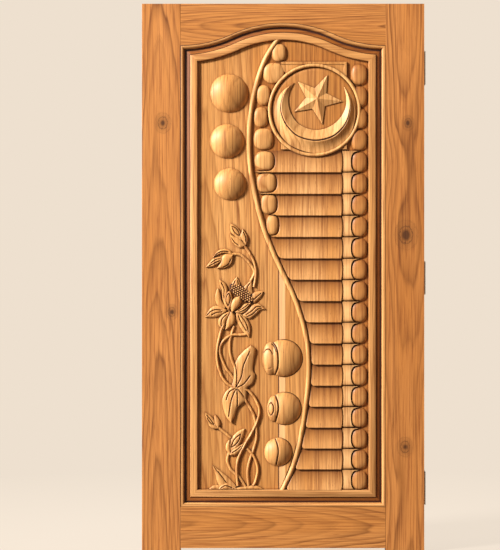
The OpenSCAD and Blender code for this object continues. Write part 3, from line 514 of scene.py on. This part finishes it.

# Carving: how it is merged and smooth-shaded, which of its cuts get painted shade, and the solids that are
# only smoothed
carving = {"cutFrom": 0.5, "cutCorners": 3, "merge": 0.02, "smooth": 50}
copies = {"medallion_plate": (10, "panel teak"), "star": (1, "bead teak")}
for name, (angle, wood) in copies.items():
    # a merged copy of a carved solid, so that its curves shade as curves
    made = bpy.data.objects.new(name + "_carved", nodes[name].data.copy())
    bpy.context.scene.collection.objects.link(made)
    pick(made)
    bpy.ops.object.mode_set(mode="EDIT")
    bpy.ops.mesh.select_all(action="SELECT")
    bpy.ops.mesh.remove_doubles(threshold=merging)
    bpy.ops.object.mode_set(mode="OBJECT")
    bpy.ops.object.shade_smooth_by_angle(angle=math.radians(angle))
    even = made.modifiers.new("even", "WEIGHTED_NORMAL")
    even.keep_sharp = True
    bpy.ops.object.modifier_apply(modifier="even")
    dressPiece(made, wood)
    finishPiece(made, name)
print("carving smoothed:", len(copies))


def carve(name, wood, across, along, shape):
    # a grid drawn over the form, its cut lines painted dark as shade, with its border turned back to the
    # ground
    piece = gridPiece(name, across, along, wood, "stained teak")
    inCut = set()
    for v in piece.data.vertices:
        place, out, *cut = shape(v.co.x, (v.co.y + 1) / 2)
        v.co = onFace(place, out)
        if cut and cut[0] > carving["cutFrom"]:
            inCut.add(v.index)
    for side in piece.data.polygons:
        if sum(k in inCut for k in side.vertices) >= carving["cutCorners"]:
            side.material_index = 1
    bpy.ops.object.mode_set(mode="EDIT")
    bpy.ops.mesh.select_mode(type="EDGE")
    bpy.ops.mesh.select_all(action="DESELECT")
    bpy.ops.mesh.select_non_manifold()
    bpy.ops.mesh.extrude_edges_move()
    bpy.ops.transform.resize(value=(1, 0, 1), center_override=(0, face["groundY"], 0))
    bpy.ops.mesh.edge_face_add()
    closeMesh(carving["merge"] * mm, carving["smooth"])
    return piece


def joinPieces(name, pieces):
    pick(pieces[0])
    for piece in pieces:
        piece.select_set(True)
    bpy.ops.object.join()
    made = bpy.context.active_object
    made.name = name
    return made


def spline(points, t):
    # a smooth line through photo points, and its direction
    at = min(t, 0.99999) * (len(points) - 1)
    k = int(at)
    s = at - k
    p = [Vector(points[min(max(k + j, 0), len(points) - 1)]) for j in (-1, 0, 1, 2)]
    bend = 2 * p[0] - 5 * p[1] + 4 * p[2] - p[3]
    twist = 3 * p[1] - p[0] - 3 * p[2] + p[3]
    place = 0.5 * (2 * p[1] + (p[2] - p[0]) * s + bend * s * s + twist * s ** 3)
    way = 0.5 * (p[2] - p[0] + 2 * bend * s + 3 * twist * s * s)
    return place, way.normalized()


def sampled(points, steps):
    return [spline(points, k / steps)[0] for k in range(steps + 1)]


def halfRound(points, half, tall, fall=1):
    # a strip along a line through photo points
    def shape(u, t):
        place, way = spline(points, t)
        return place + Vector((-way.y, way.x)) * u * half, tall * max(0.0, 1 - fall * u * u) ** 0.5

    return shape


def dip(distance, width):
    return math.exp(-(distance / width) ** 2)


# The S line through photo points, from the top to the foot
sBend = {
    "line": [(279.6, 37.5), (275.2, 42.6), (265.4, 58.7), (258.2, 77.8), (253.4, 97), (250.4, 116),
        (249.2, 135), (249.3, 154.4), (251.2, 173.5), (255, 194), (260.1, 215), (265.1, 231.6),
        (271.7, 248.2), (279, 264.8), (287, 281.3), (294.5, 297.9), (300.3, 314.5), (304.9, 331.1),
        (307.6, 347), (308.6, 366), (307.8, 387), (305.2, 409.2), (302.2, 428.9), (298.3, 448.7),
        (292.3, 468.5), (283.6, 488.2), (282, 491)],
    "half": 2.5, "tall": 12, "round": 0.9, "across": 12, "steps": 240,
}
sPlaces = sampled(sBend["line"], sBend["steps"])


def sMiddle(y):
    # across, at a height of the photo
    k = min(max(bisect.bisect([p.y for p in sPlaces], y), 1), sBend["steps"])
    a, b = sPlaces[k - 1], sPlaces[k]
    return a.x + (b.x - a.x) * min(1, max(0, (y - a.y) / (b.y - a.y)))


sShape = halfRound(sBend["line"], sBend["half"], sBend["tall"], sBend["round"])
finishPiece(carve("curvedBead", "bead teak", sBend["across"], sBend["steps"], sShape), "s_bead")
print("curved bead carved")


def onDisc(u, t):
    # a square grid drawn round, with its distance from the middle
    v = 2 * t - 1
    r = max(abs(u), abs(v))
    far = math.hypot(u, v) or 1
    return u * r / far, v * r / far, r


# Medallion in photo pixels, with heights in millimetres
medallion = {"middle": (314.5, 110), "r": 46.58, "bead": 3.4, "field": 8, "ringUp": 8.6, "groove": 4,
             "grooveWide": 0.04, "grid": (60, 60), "ringSteps": 128, "beadSteps": 20}


def underRing(place):
    return (place - Vector(medallion["middle"])).length < medallion["r"] - medallion["bead"] / 2


def ovalHalf(size, away):
    # half the width of a full oval, at a height above or below its middle
    s = min(1, abs(2 * away / size[1]))
    return size[0] / 2 * (1 - s ** wall["oval"]) ** (1 / wall["oval"])


def log(i):
    low, pitch = courseY(i), courseY(i) - courseY(i + 1)

    def shape(u, t):
        up = pitch * t * t
        y = low - up
        left = sMiddle(y) + sBend["half"] + wall["gap"]
        if up < wall["corner"]:
            left += wall["corner"] - math.sqrt(wall["corner"] ** 2 - (wall["corner"] - up) ** 2)
        for x, middleY, *size in wall["leftBeads"]:
            if abs(y - middleY) < size[1] / 2:
                left = max(left, x + ovalHalf(size, y - middleY) + wall["gap"])
        right = wall["neckX"] - wall["bulge"] * (2 * t * t - 1) ** 2
        x = left + (right - left) * (1 + math.sin(u * math.pi / 2)) / 2
        out = wall["back"] + (wall["tall"] - wall["back"]) * (1 - t * t) ** wall["fall"]
        for distance, reach in ((up, wall["nose"]), (x - left, wall["end"]), (right - x, wall["end"])):
            out *= math.sqrt(1 - (1 - min(1, max(wall["rim"], distance / reach))) ** 2)
        place = Vector((x, y))
        return place, wall["slab"] if underRing(place) else max(wall["slab"], out)

    return carve("log", "log teak", *wall["logGrid"], shape)


def neck(i):
    low, pitch = courseY(i), courseY(i) - courseY(i + 1)
    foot = wall["neckFoot"]

    def shape(u, t):
        y = low - t * pitch
        left = wall["neckX"] - wall["bulge"] * (2 * t - 1) ** 2 + wall["gap"]
        right = wall["beadX"] - ovalHalf((wall["beadWide"], pitch), (t - 0.5) * pitch) - wall["gap"]
        x = left + (right - left) * (u + 1) / 2
        share = (x - left) / (wall["beadX"] - wall["beadWide"] / 2 - wall["neckX"])
        out = wall["neckLow"] + (wall["neckHigh"] - wall["neckLow"]) * min(1, share)
        out *= foot + (1 - foot) * min(1, wall["neckRise"] * t) ** 0.5
        place = Vector((x, y))
        return place, wall["slab"] if underRing(place) else out

    return carve("neck", "neck teak", *wall["neckGrid"], shape)


def endBead(wood, x, middleY, size):
    def shape(u, t):
        a, b, r = onDisc(u, t)
        y = middleY - b * size[1] / 2
        edge = math.sqrt(max(1e-6, 1 - b * b))
        place = Vector((x + a / edge * ovalHalf(size, b * size[1] / 2), y))
        out = wall["beadTall"] * (1 - r ** wall["beadRound"]) ** 0.5
        hidden = underRing(place) or place.x < sMiddle(y) + sBend["half"]
        return place, min(out, wall["slab"]) if hidden else out

    return carve("bead", wood, *wall["beadGrid"], shape)


archTuck = openingLine(wall["tuck"])[1:-1]


def archY(x):
    # the height, in photo pixels, at which the ground is hidden by the arched moulding
    across = (x - face["middlePx"]) * face["acrossMm"]
    (x0, z0), (x1, z1) = next(pair for pair in zip(archTuck, archTuck[1:]) if pair[1][0] >= across)
    up = z0 + (z1 - z0) * (across - x0) / (x1 - x0)
    return face["sillPx"] - (up - face["sillMm"]) / face["upMm"]


def slab(u, t):
    top = wall["top"]
    for again in range(wall["tries"]):
        y = wall["sill"] + (top - wall["sill"]) * t
        left = sMiddle(y) + sBend["half"]
        x = left + (wall["right"] - left) * (u + 1) / 2
        top = archY(x)
    return Vector((x, y)), wall["slab"]


leftBeads = [endBead("relief teak", x, y, (w + wall["gap"], h + wall["gap"]))
             for x, y, w, h in wall["leftBeads"]]
rightBeads = [endBead("end bead teak", wall["beadX"], courseY(i + 0.5),
                      (wall["beadWide"], courseY(i) - courseY(i + 1) - wall["gap"]))
              for i in range(wall["courses"])]
finishPiece(joinPieces("logs", [log(i) for i in range(wall["logs"])]), "log_wall")
finishPiece(joinPieces("logNecks", [neck(i) for i in range(wall["logs"])]), "log_wall")
finishPiece(joinPieces("logEnds", rightBeads), "log_wall")
finishPiece(joinPieces("leftLogEnds", leftBeads), "log_wall")
finishPiece(carve("wallGround", "wall ground teak", *wall["slabGrid"], slab), "log_wall")
print("log wall carved:", wall["logs"], "logs,", len(leftBeads) + len(rightBeads), "ends")


def discShape(u, t):
    a, b, r = onDisc(u, t)
    place = Vector(medallion["middle"]) + Vector((a, b)) * (medallion["r"] - medallion["bead"])
    return place, medallion["field"] - medallion["groove"] * dip(r - 1, medallion["grooveWide"])


finishPiece(carve("medallionField", "disc teak", *medallion["grid"], discShape), "medallion_disc")
bead = medallion["bead"] / 2 * face["upMm"] * mm
bpy.ops.object.select_all(action="DESELECT")
bpy.ops.mesh.primitive_torus_add(
    major_radius=medallion["r"] * face["upMm"] * mm - bead, minor_radius=bead,
    major_segments=medallion["ringSteps"], minor_segments=medallion["beadSteps"],
    location=onFace(medallion["middle"], medallion["ringUp"]), rotation=(math.pi / 2, 0, 0))
bpy.ops.object.transform_apply(location=True, rotation=True, scale=True)
bpy.ops.object.shade_smooth()
ring = bpy.context.active_object
ring.name = "medallionRing"
dressPiece(ring, "bead teak")
finishPiece(ring, "medallion_disc")

# Crescent: outer edge, crest and inner edge through photo points, with a cut line along the crest, painted
# dark as shade
crescent = {
    "outer": [(295, 82.4), (284.5, 89.3), (278.3, 97), (274.6, 107), (274.7, 119), (279.3, 132.5),
        (290.5, 145.3), (313.5, 153), (333, 149.6), (345.5, 140.3), (353, 127.5), (355.2, 112), (352.4, 98),
        (343.9, 85.8)],
    "crest": [(295, 82.4), (288, 87.5), (283.1, 95.1), (280.7, 106.6), (282.1, 116.1), (287.5, 126.5),
        (298, 136.2), (314.6, 140.5), (330, 137.6), (339.6, 131), (346.6, 121), (350, 107.5), (348.8, 96.5),
        (343.9, 85.8)],
    "inner": [(295, 82.4), (290.8, 88.8), (288.4, 96.5), (288.4, 105), (290.9, 113.5), (296.5, 121.9),
        (305.1, 127.6), (315.6, 130), (326.1, 128.1), (334.7, 123.3), (341.4, 116.1), (345.7, 106.6),
        (346.1, 97), (343.9, 85.8)],
    "tall": 21, "outerEdge": 1.0, "innerEdge": 6, "least": 0.3, "line": 5, "lineWidth": 0.07, "broadPx": 20,
    "tip": 0.01, "gather": 1.8, "taper": 0.6, "hollow": 1.9, "grid": (60, 110),
}


def crescentShape(u, t):
    t = crescent["tip"] + (1 - 2 * crescent["tip"]) * t
    v = math.copysign(abs(u) ** crescent["gather"], u)
    a, c, b = (spline(crescent[k], t)[0] for k in ("outer", "crest", "inner"))
    broad = min(1, (b - a).length / crescent["broadPx"]) ** crescent["taper"]
    crest = crescent["tall"] * broad
    if v < 0:
        out = crescent["outerEdge"] + (crest - crescent["outerEdge"]) * (1 + v) ** crescent["hollow"]
    else:
        out = crest + (crescent["innerEdge"] * broad - crest) * v
    cut = dip(v, crescent["lineWidth"])
    out -= crescent["line"] * broad * cut
    place = c.lerp(a, -v) if v < 0 else c.lerp(b, v)
    return place, medallion["field"] + max(crescent["least"], out), cut


finishPiece(carve("crescentCarved", "bead teak", *crescent["grid"], crescentShape), "crescent")
print("medallion carved")

# Domes: middle and radius in pixels; grooved ones have a lobe, and lines cut into them with depth and width
plainDomes = {"plain_dome_top": (229, 93, 19.4), "plain_dome_middle": (227, 141, 17.4),
              "plain_dome_low": (230, 184, 16.3)}
groovedDomes = {
    "grooved_dome_top": {
        "ball": (284, 358.4, 19), "lobe": (270.8, 358.7, 8.8, 16.6),
        "lines": [([(273.4, 342.6), (277, 349), (278.3, 359), (277.8, 368), (275, 375.4)], 8, 0.7),
                  ([(271.6, 343.8), (274.4, 346.6), (276.4, 351.5)], 4, 0.5),
                  ([(263.9, 352.6), (266, 350), (268.3, 349.2), (270.6, 350.4), (272.6, 354)], 4, 0.55),
                  ([(265, 366), (268, 369.2), (271, 368)], 1.6, 0.8)]},
    "grooved_dome_middle": {
        "ball": (285.2, 408.8, 16.7), "lobe": (274, 409, 6.9, 13.4),
        "lines": [([(275.6, 395.8), (278, 403), (278.3, 411), (275.6, 422)], 8, 0.7),
                  ([(271, 402.4), (273.4, 405.5), (273.8, 408.8), (273.4, 412), (271, 415.4), (268.8, 412),
                    (268.3, 408.8), (268.8, 405.5), (271, 402.4)], 4.5, 0.5)]},
    "grooved_dome_low": {
        "ball": (278.4, 452.3, 14.4), "lobe": None,
        "lines": [([(275.4, 439), (277.8, 446), (278.3, 453), (276.2, 465.5)], 6, 0.6)]},
}
domeForm = {"plain": 30, "grooved": 28, "lobe": 23, "round": 0.72, "least": 0.2, "lineSteps": 20,
            "halvings": 24, "reach": 3, "fade": 4, "fadeLeast": 0.25, "paintedShadeDeep": 3, "plainGrid": (40, 40),
            "groovedGrid": (100, 100)}


def cap(away, tall):
    return tall * max(0.0, 1 - away ** 2) ** domeForm["round"]


def offLine(p, line):
    best = 1e9
    for a, b in zip(line, line[1:]):
        a, b = Vector(a), Vector(b)
        s = min(1, max(0, (p - a).dot(b - a) / (b - a).length_squared))
        best = min(best, (p - a - (b - a) * s).length)
    return best


def groovedShape(dome):
    x, y, r = dome["ball"]
    middle = Vector((x, y))
    lobe = dome["lobe"]
    start = Vector((lobe[0] + lobe[2], y)) if lobe else middle
    lines = [(sampled(line, domeForm["lineSteps"]), deep, width) for line, deep, width in dome["lines"]]

    def inside(p):
        ball = (p - middle).length / r
        if lobe is None:
            return ball, math.inf
        return ball, math.hypot((p.x - lobe[0]) / lobe[2], (p.y - lobe[1]) / lobe[3])

    def shape(u, t):
        a, b, far = onDisc(u, t)
        way = Vector((a, b)).normalized() if far else Vector((1, 0))
        low, high = 0.0, domeForm["reach"] * r
        for again in range(domeForm["halvings"]):
            half = (low + high) / 2
            if min(inside(start + way * half)) < 1:
                low = half
            else:
                high = half
        place = start + way * low * far
        ball, side = inside(place)
        out = max(cap(ball, domeForm["grooved"]), cap(side, domeForm["lobe"]))
        fade, cut = min(1, domeForm["fade"] * (1 - far) + domeForm["fadeLeast"]), 0
        for line, deep, width in lines:
            depth = dip(offLine(place, line), width)
            out -= fade * deep * depth
            # lines cut deeper than a set depth are painted dark as shade
            cut = max(cut, depth if deep > domeForm["paintedShadeDeep"] else 0)
        return place, max(domeForm["least"], out), cut

    return shape


def plainShape(x, y, r):
    def shape(u, t):
        a, b, far = onDisc(u, t)
        return Vector((x + a * r, y + b * r)), cap(far, domeForm["plain"])

    return shape


for name, dome in plainDomes.items():
    finishPiece(carve(name + "_carved", "dome teak", *domeForm["plainGrid"], plainShape(*dome)), name)
for name, dome in groovedDomes.items():
    finishPiece(carve(name + "_carved", "dome teak", *domeForm["groovedGrid"], groovedShape(dome)), name)
print("domes carved:", len(plainDomes) + len(groovedDomes))

# Blades of the lotus: each petal, bud leaf or mound as its two edges from root to tip, its height in
# millimetres and the lines cut into it, painted dark as shade
bladeForm = {"tipDrop": 0.42, "rootDrop": 0.3, "crown": 0.34, "edge": 0.3, "least": 0.6, "cutWidth": 0.46,
             "cutDeep": 4.5, "cutSteps": 14, "grid": (30, 38)}


def blade(first, second, tall, *cuts):
    form = bladeForm
    lines = [sampled(line, form["cutSteps"]) for line in cuts]

    def shape(u, t):
        place = spline(first, t)[0].lerp(spline(second, t)[0], (u + 1) / 2)
        rise = 1 - form["tipDrop"] * t ** 2 - form["rootDrop"] * (1 - t) ** 3
        out = tall * rise * (1 - form["crown"] * u * u - form["edge"] * u ** 8)
        cut = max((dip(offLine(place, line), form["cutWidth"]) for line in lines), default=0)
        return place, max(form["least"], out - form["cutDeep"] * cut), cut

    return carve("blade", "relief teak", *form["grid"], shape)


flower = [
    ([(230, 290), (230.5, 285.5), (233.5, 280.5), (236.4, 276.8)], [(241.5, 291), (240.8, 286), (239.3, 281),
     (236.8, 276.8)], 9, [(235.2, 280.8), (234, 284), (233.6, 287)], [(237.9, 280.8), (238.4, 284),
     (238.4, 287)]),
    ([(242, 292), (243.5, 287.5), (247, 283.5), (251, 280.2)], [(253.5, 294), (252.6, 290), (252.3, 285),
     (251.6, 280.2)], 9, [(250, 283.5), (247.6, 287), (247, 290.5)]),
    ([(250, 296), (254, 292.6), (258.5, 291.3), (263, 291.5)], [(254.5, 304), (257.5, 300.5), (261, 297),
     (263.3, 292)], 10, [(261, 293.5), (257.5, 296.5), (253.5, 300)]),
    ([(224.5, 309), (217.5, 305.5), (215, 298), (216.3, 290.5), (217.6, 288.5)], [(225.5, 306),
     (221.8, 300.5), (220.4, 294), (219.3, 290), (218.2, 288.4)], 9),
    ([(225, 306.5), (222.4, 299), (222, 291), (219.6, 284.5), (219.3, 279.5)], [(229, 305), (227.5, 298),
     (228, 290), (225.5, 283.5), (219.9, 279.3)], 12, [(221.5, 283), (224.3, 289), (224, 296), (225.5, 302)]),
    ([(226.5, 309.5), (220.5, 306), (213.5, 306.2), (208.5, 310.5), (205.2, 317)], [(226, 312), (222, 315),
     (216.5, 317.3), (210.5, 317.8), (205.4, 317.3)], 11, [(206.8, 315.5), (211, 311.5), (216, 309.8),
     (221, 310.3)], [(212, 315), (216.5, 312.8), (222, 312)]),
    ([(236.2, 312.5), (236.3, 319), (239.5, 326.5), (243.8, 332.5), (248.6, 337.2)], [(239, 313),
     (245.5, 317), (249.8, 324), (250.6, 331), (249.3, 337)], 12, [(238.5, 316), (240.5, 321), (243.5, 326),
     (246.5, 331)], [(241, 316), (245, 321), (247.5, 327), (248.3, 332)]),
    ([(242.5, 314.5), (248.5, 309.5), (253, 304.8), (259, 303.8), (265.4, 309)], [(243.5, 316.8), (250, 319),
     (256, 314.5), (260, 310.3), (265.2, 309.4)], 12, [(246.5, 314.6), (252, 311), (256.5, 306.8),
     (261, 307)], [(247.5, 316.8), (253, 314), (257.5, 309.6), (262, 308.3)]),
    ([(229, 311.5), (222.5, 314.5), (218.4, 320), (219, 326), (223, 329)], [(230.5, 312), (228.5, 317),
     (226, 322), (225, 327), (224.4, 329.3)], 13, [(227, 314.5), (222.6, 318.5), (221.2, 324), (222.2, 327)]),
    ([(230, 312), (227.5, 317.5), (226, 323), (225.3, 329.8)], [(232.5, 311.8), (235.3, 317), (234.8, 322.5),
     (231, 327), (225.6, 330)], 14),
    ([(228, 309.5), (224.3, 305), (224, 298), (226.5, 292.8), (229.3, 290.8)], [(229.5, 309.5), (232.4, 304),
     (232.5, 297), (231.5, 292.5), (229.6, 290.8)], 15, [(228.3, 306), (226.2, 301.5), (226.6, 296.5),
     (229, 293.6), (230.4, 297), (229.9, 302), (228.3, 306)]),
    ([(234.5, 311.5), (240.5, 308.3), (244.5, 304), (250.3, 302.6)], [(236, 312.8), (241.5, 314),
     (247.5, 310), (251, 303.2)], 15, [(239, 310.6), (244.5, 307.4), (248.5, 304.2)], [(240, 312.2),
     (245.6, 309.6), (249.6, 305.2)]),
    ([(231.5, 311.5), (230.2, 306), (232.2, 300.3), (236, 297), (239.5, 296.3)], [(233, 311.8),
     (237.5, 308.5), (240.6, 304), (241.6, 299.8), (240, 296.4)], 19),
]
flowerPieces = [blade(*p) for p in flower]

# Seed head: a low pad in painted shade, with rows of round seeds
seedHead = {"middle": (242, 293.2), "turn": 37, "half": (14.5, 6), "tall": 9, "edgeDrop": 0.4,
            "grid": (24, 16), "rows": 3, "columns": 7, "seedEvery": 2.4, "rowShare": 0.86, "within": 0.86,
            "seedR": 0.86}
half, turn = seedHead["half"], math.radians(seedHead["turn"])
headMiddle = Vector(seedHead["middle"])
headAlong = Vector((math.cos(turn), math.sin(turn)))
headAcross = Vector((math.sin(turn), -math.cos(turn)))


def seedPad(u, t):
    a, b, r = onDisc(u, t)
    place = headMiddle + headAlong * a * half[0] + headAcross * b * half[1]
    return place, seedHead["tall"] * (1 - seedHead["edgeDrop"] * r ** 4)


flowerPieces.append(carve("seedPad", "stained teak", *seedHead["grid"], seedPad))
seeds = []
for row in range(-seedHead["rows"], seedHead["rows"] + 1):
    for col in range(-seedHead["columns"], seedHead["columns"] + 1):
        a = (col + 0.5 * (row % 2)) * seedHead["seedEvery"]
        b = row * seedHead["seedEvery"] * seedHead["rowShare"]
        if (a / half[0]) ** 2 + (b / half[1]) ** 2 < seedHead["within"]:
            seeds.append(headMiddle + headAlong * a + headAcross * b)
bpy.ops.object.select_all(action="DESELECT")
for spot in seeds:
    bpy.ops.mesh.primitive_ico_sphere_add(
        subdivisions=2, radius=seedHead["seedR"] * face["upMm"] * mm, location=onFace(spot, seedHead["tall"]))
    bpy.ops.object.transform_apply(location=True, rotation=False, scale=False)
    bpy.ops.object.shade_smooth()
    dressPiece(bpy.context.active_object, "bead teak")
    flowerPieces.append(bpy.context.active_object)
finishPiece(joinPieces("lotusFlower", flowerPieces), "lotus_spray")
print("flower carved:", len(flower), "petals,", len(seeds), "seeds")

buds = [
    ([(240.5, 241), (235.5, 237.5), (231.5, 233), (230.2, 228), (230.6, 223.4)], [(242, 239), (241.2, 233.5),
     (238.8, 228.8), (235, 225.3), (230.9, 223.3)], 12, [(232.2, 226.5), (236, 228.2), (239, 232.3),
     (239.6, 235.8)], [(232.4, 228), (234.6, 232), (238.6, 235.6)]),
    ([(245.8, 245.5), (242.5, 241.5), (239.6, 237.3), (241, 233), (242.5, 229)], [(246.2, 245), (248, 240.5),
     (247.6, 235.8), (245.2, 231.8), (242.9, 228.9)], 13, [(243.6, 232.5), (245.8, 237), (246, 241.5)]),
    ([(245, 246), (240.5, 248), (235.5, 245.5), (231.6, 240.5), (229.9, 233.8)], [(245.2, 244.5),
     (242.5, 241), (239.3, 237.5), (234.5, 236), (230.3, 233.6)], 14, [(231.8, 238), (234.5, 242),
     (238.5, 245.2)]),
    ([(232.8, 253.6), (229.5, 249.8), (223.5, 248.7), (217.5, 251), (213, 256.8)], [(231, 256), (228, 253.8),
     (223.5, 253.2), (218.5, 254.5), (213.5, 257.2)], 11, [(228.5, 252), (223.5, 251.2), (218.5, 252.8),
     (215.5, 255)]),
    ([(222.5, 257.5), (217.5, 257), (212, 259.5), (205.8, 266.8)], [(222, 259.5), (218.5, 263.8),
     (213, 266.8), (206.2, 267.2)], 12, [(220.5, 258.8), (216, 259.6), (211, 263)], [(219.5, 260.8),
     (214.5, 263.2), (209.5, 265.8)]),
    ([(232.5, 254.5), (226, 253.6), (221.8, 257), (220.5, 262.5), (216.8, 268.2)], [(232.8, 256),
     (232, 262.5), (228.5, 266.6), (223, 268.3), (217.2, 268.4)], 14, [(231, 259), (228.5, 264.3),
     (223.5, 267)]),
    ([(216.5, 428.5), (210.5, 427.2), (207.2, 421.5), (204.2, 412.3)], [(217.5, 427), (215.2, 421),
     (210.8, 416), (204.8, 412.1)], 11, [(206.8, 415.5), (210.5, 419.5), (214, 424.5)], [(207.3, 418.5),
     (210.5, 423), (214.5, 426.5)]),
    ([(217.5, 429), (214.8, 424), (214, 419.5), (214.6, 415)], [(218.2, 428.8), (220.2, 424.5),
     (219.2, 419.6), (215.3, 414.8)], 12),
    ([(217.8, 429.2), (213, 429), (209.3, 426.3), (207.5, 421.8)], [(218, 428), (215.2, 425.4),
     (211.8, 424.2), (208, 421.6)], 13),
    ([(231, 453), (229.5, 446.5), (231.5, 438.5), (237.5, 432), (244.3, 428.8)], [(232, 453.5), (238, 448),
     (241.5, 441), (244, 434.5), (244.8, 429)], 12, [(240.5, 434.5), (235, 439), (232.2, 444.5),
     (231.8, 447.5), (236, 444.5), (239.6, 439.6), (240.5, 434.5)]),
    ([(230, 455.5), (225.8, 449.5), (226.4, 443.8), (229.2, 440)], [(231, 455), (230.8, 449), (230.4, 444.5),
     (229.8, 440.2)], 13),
    ([(229.5, 454.5), (232, 449.6), (237, 447), (243, 444)], [(230.5, 456), (236.5, 455), (241, 450.5),
     (243.3, 444.6)], 14, [(232.5, 452.8), (237, 450), (241, 446.4)]),
    ([(219, 487), (216.5, 479.5), (214.5, 472.5), (212.3, 465.6)], [(229, 487), (224.5, 480.5), (219, 473.4),
     (212.8, 465.8)], 10),
    ([(227, 487), (223, 480), (218.3, 473), (212.8, 465.8)], [(237.5, 487.5), (230.5, 479.6), (222.5, 472.8),
     (213.2, 465.6)], 8, [(227.5, 485), (223.5, 479.2), (218, 472)]),
]
finishPiece(joinPieces("lotusBuds", [blade(*p) for p in buds]), "lotus_spray")
print("buds carved:", len(buds))

# Stems: half rounds through photo points, each with its share of the height, so that one passes over another
stemForm = {"half": 1.55, "tall": 8.5, "step": 2.2, "across": 10, "fewest": 6}
stems = [
    ([(224, 324), (221.4, 330), (217.6, 346), (217.1, 360), (221.4, 375.5), (229, 385), (239, 389),
     (248.5, 391), (256, 400.5), (259.4, 411), (257, 422), (251.8, 433), (245.3, 444), (238.8, 457),
     (236.6, 469), (237.7, 486)], 1.25),
    ([(247, 334), (241, 335), (231, 335.4), (222.5, 342), (219.8, 350.6), (222.5, 361), (227, 370),
     (231.7, 375.5), (239, 388), (245.8, 401), (251.8, 411), (255, 420), (256.7, 434), (255, 445), (249, 463),
     (247.5, 474), (248.5, 486)], 0.9),
    ([(234, 326), (232.3, 332), (230, 341), (230, 352), (232.3, 361), (236, 370)], 0.8),
    ([(247, 448.7), (254, 457), (257.8, 469), (256, 480), (253.4, 486)], 1.1),
    ([(229, 453), (227.4, 461), (231, 470), (239.3, 477.4), (245.3, 486.7)], 0.75),
    ([(244, 245), (251.6, 256.4), (255.2, 267), (255.6, 276), (254, 287)], 1.0),
    ([(231, 254.2), (240, 254.6), (247, 260), (252.5, 267), (254.6, 273), (250.6, 281)], 0.9),
    ([(218, 427.5), (225, 433), (231, 438)], 1.0),
]


def stem(points, lift):
    length = sum((Vector(b) - Vector(a)).length for a, b in zip(points, points[1:]))
    along = max(stemForm["fewest"], int(length / stemForm["step"]))
    shape = halfRound(points, stemForm["half"], stemForm["tall"] * lift)
    return carve("stem", "relief teak", stemForm["across"], along, shape)


finishPiece(joinPieces("lotusStems", [stem(*s) for s in stems]), "lotus_spray")
print("stems carved:", len(stems))

# Leaf: its two edges from tip to foot, and the veins cut into it, painted dark as shade
leaf = {
    "left": [(250.7, 345.7), (244.2, 350.6), (237.7, 358), (234.5, 367), (233.4, 377.7), (231.2, 386.4),
        (225.8, 392), (222.2, 400.5), (223.6, 410), (226.9, 418), (231.2, 423.2)],
    "right": [(250.9, 345.7), (255.6, 349.5), (254, 360.4), (252.9, 370), (255, 375.5), (252.9, 383),
        (247.5, 388.5), (245.3, 400.5), (237.7, 408), (234.5, 416.7), (231.3, 423.2)],
    "veins": [[(236.1, 387.5), (241.5, 377), (243.5, 366), (249.6, 352)], [(236.1, 387.5), (236.9, 376),
        (235.5, 364.7)], [(237, 387.8), (244, 384), (250.2, 376)], [(236, 388.5), (229.5, 392), (226.3, 400)],
        [(236.2, 389), (231.5, 400), (228.8, 416.7)], [(236.9, 389), (237.5, 397), (237.5, 406)],
        [(237.5, 388.8), (241, 393), (245.3, 399)]],
    "tall": 13, "level": 0.9, "ridge": 0.08, "ripple": 0.05, "ripples": 9, "slant": 2, "edge": 0.45,
    "veinWidth": 0.5, "veinDeep": 4.5, "veinSteps": 10, "grid": (72, 140),
}
veins = [sampled(vein, leaf["veinSteps"]) for vein in leaf["veins"]]


def leafShape(u, t):
    place = spline(leaf["left"], t)[0].lerp(spline(leaf["right"], t)[0], (u + 1) / 2)
    ripple = leaf["ripple"] * math.sin(leaf["ripples"] * t + leaf["slant"] * u)
    wave = leaf["level"] + leaf["ridge"] * math.cos(math.pi * u) + ripple
    out = leaf["tall"] * wave * (1 - leaf["edge"] * u ** 6)
    cut = max(dip(offLine(place, vein), leaf["veinWidth"]) for vein in veins)
    return place, out - leaf["veinDeep"] * cut, cut


finishPiece(carve("lotusLeaf", "relief teak", *leaf["grid"], leafShape), "lotus_spray")

mounds = [
    ([(209.3, 489), (213, 486), (218, 485.4), (222, 487)], [(209.5, 490), (214, 490.1), (219, 490.1),
     (222.5, 490)], 9),
    ([(234, 488.5), (240, 487.4), (248, 486.2), (256, 485.8), (263, 489.3)], [(234.5, 490), (242, 490.1),
     (250, 490.1), (258, 490.1), (263.2, 490)], 10),
    ([(218.5, 488.5), (222, 484.6), (227.5, 483.2), (235.5, 487.5)], [(219, 490), (225, 490.1), (231, 490.1),
     (236, 489.2)], 12, [(221, 488.3), (226, 486), (232, 488)]),
]
finishPiece(joinPieces("lotusGround", [blade(*p) for p in mounds]), "lotus_spray")
print("leaf and ground carved")
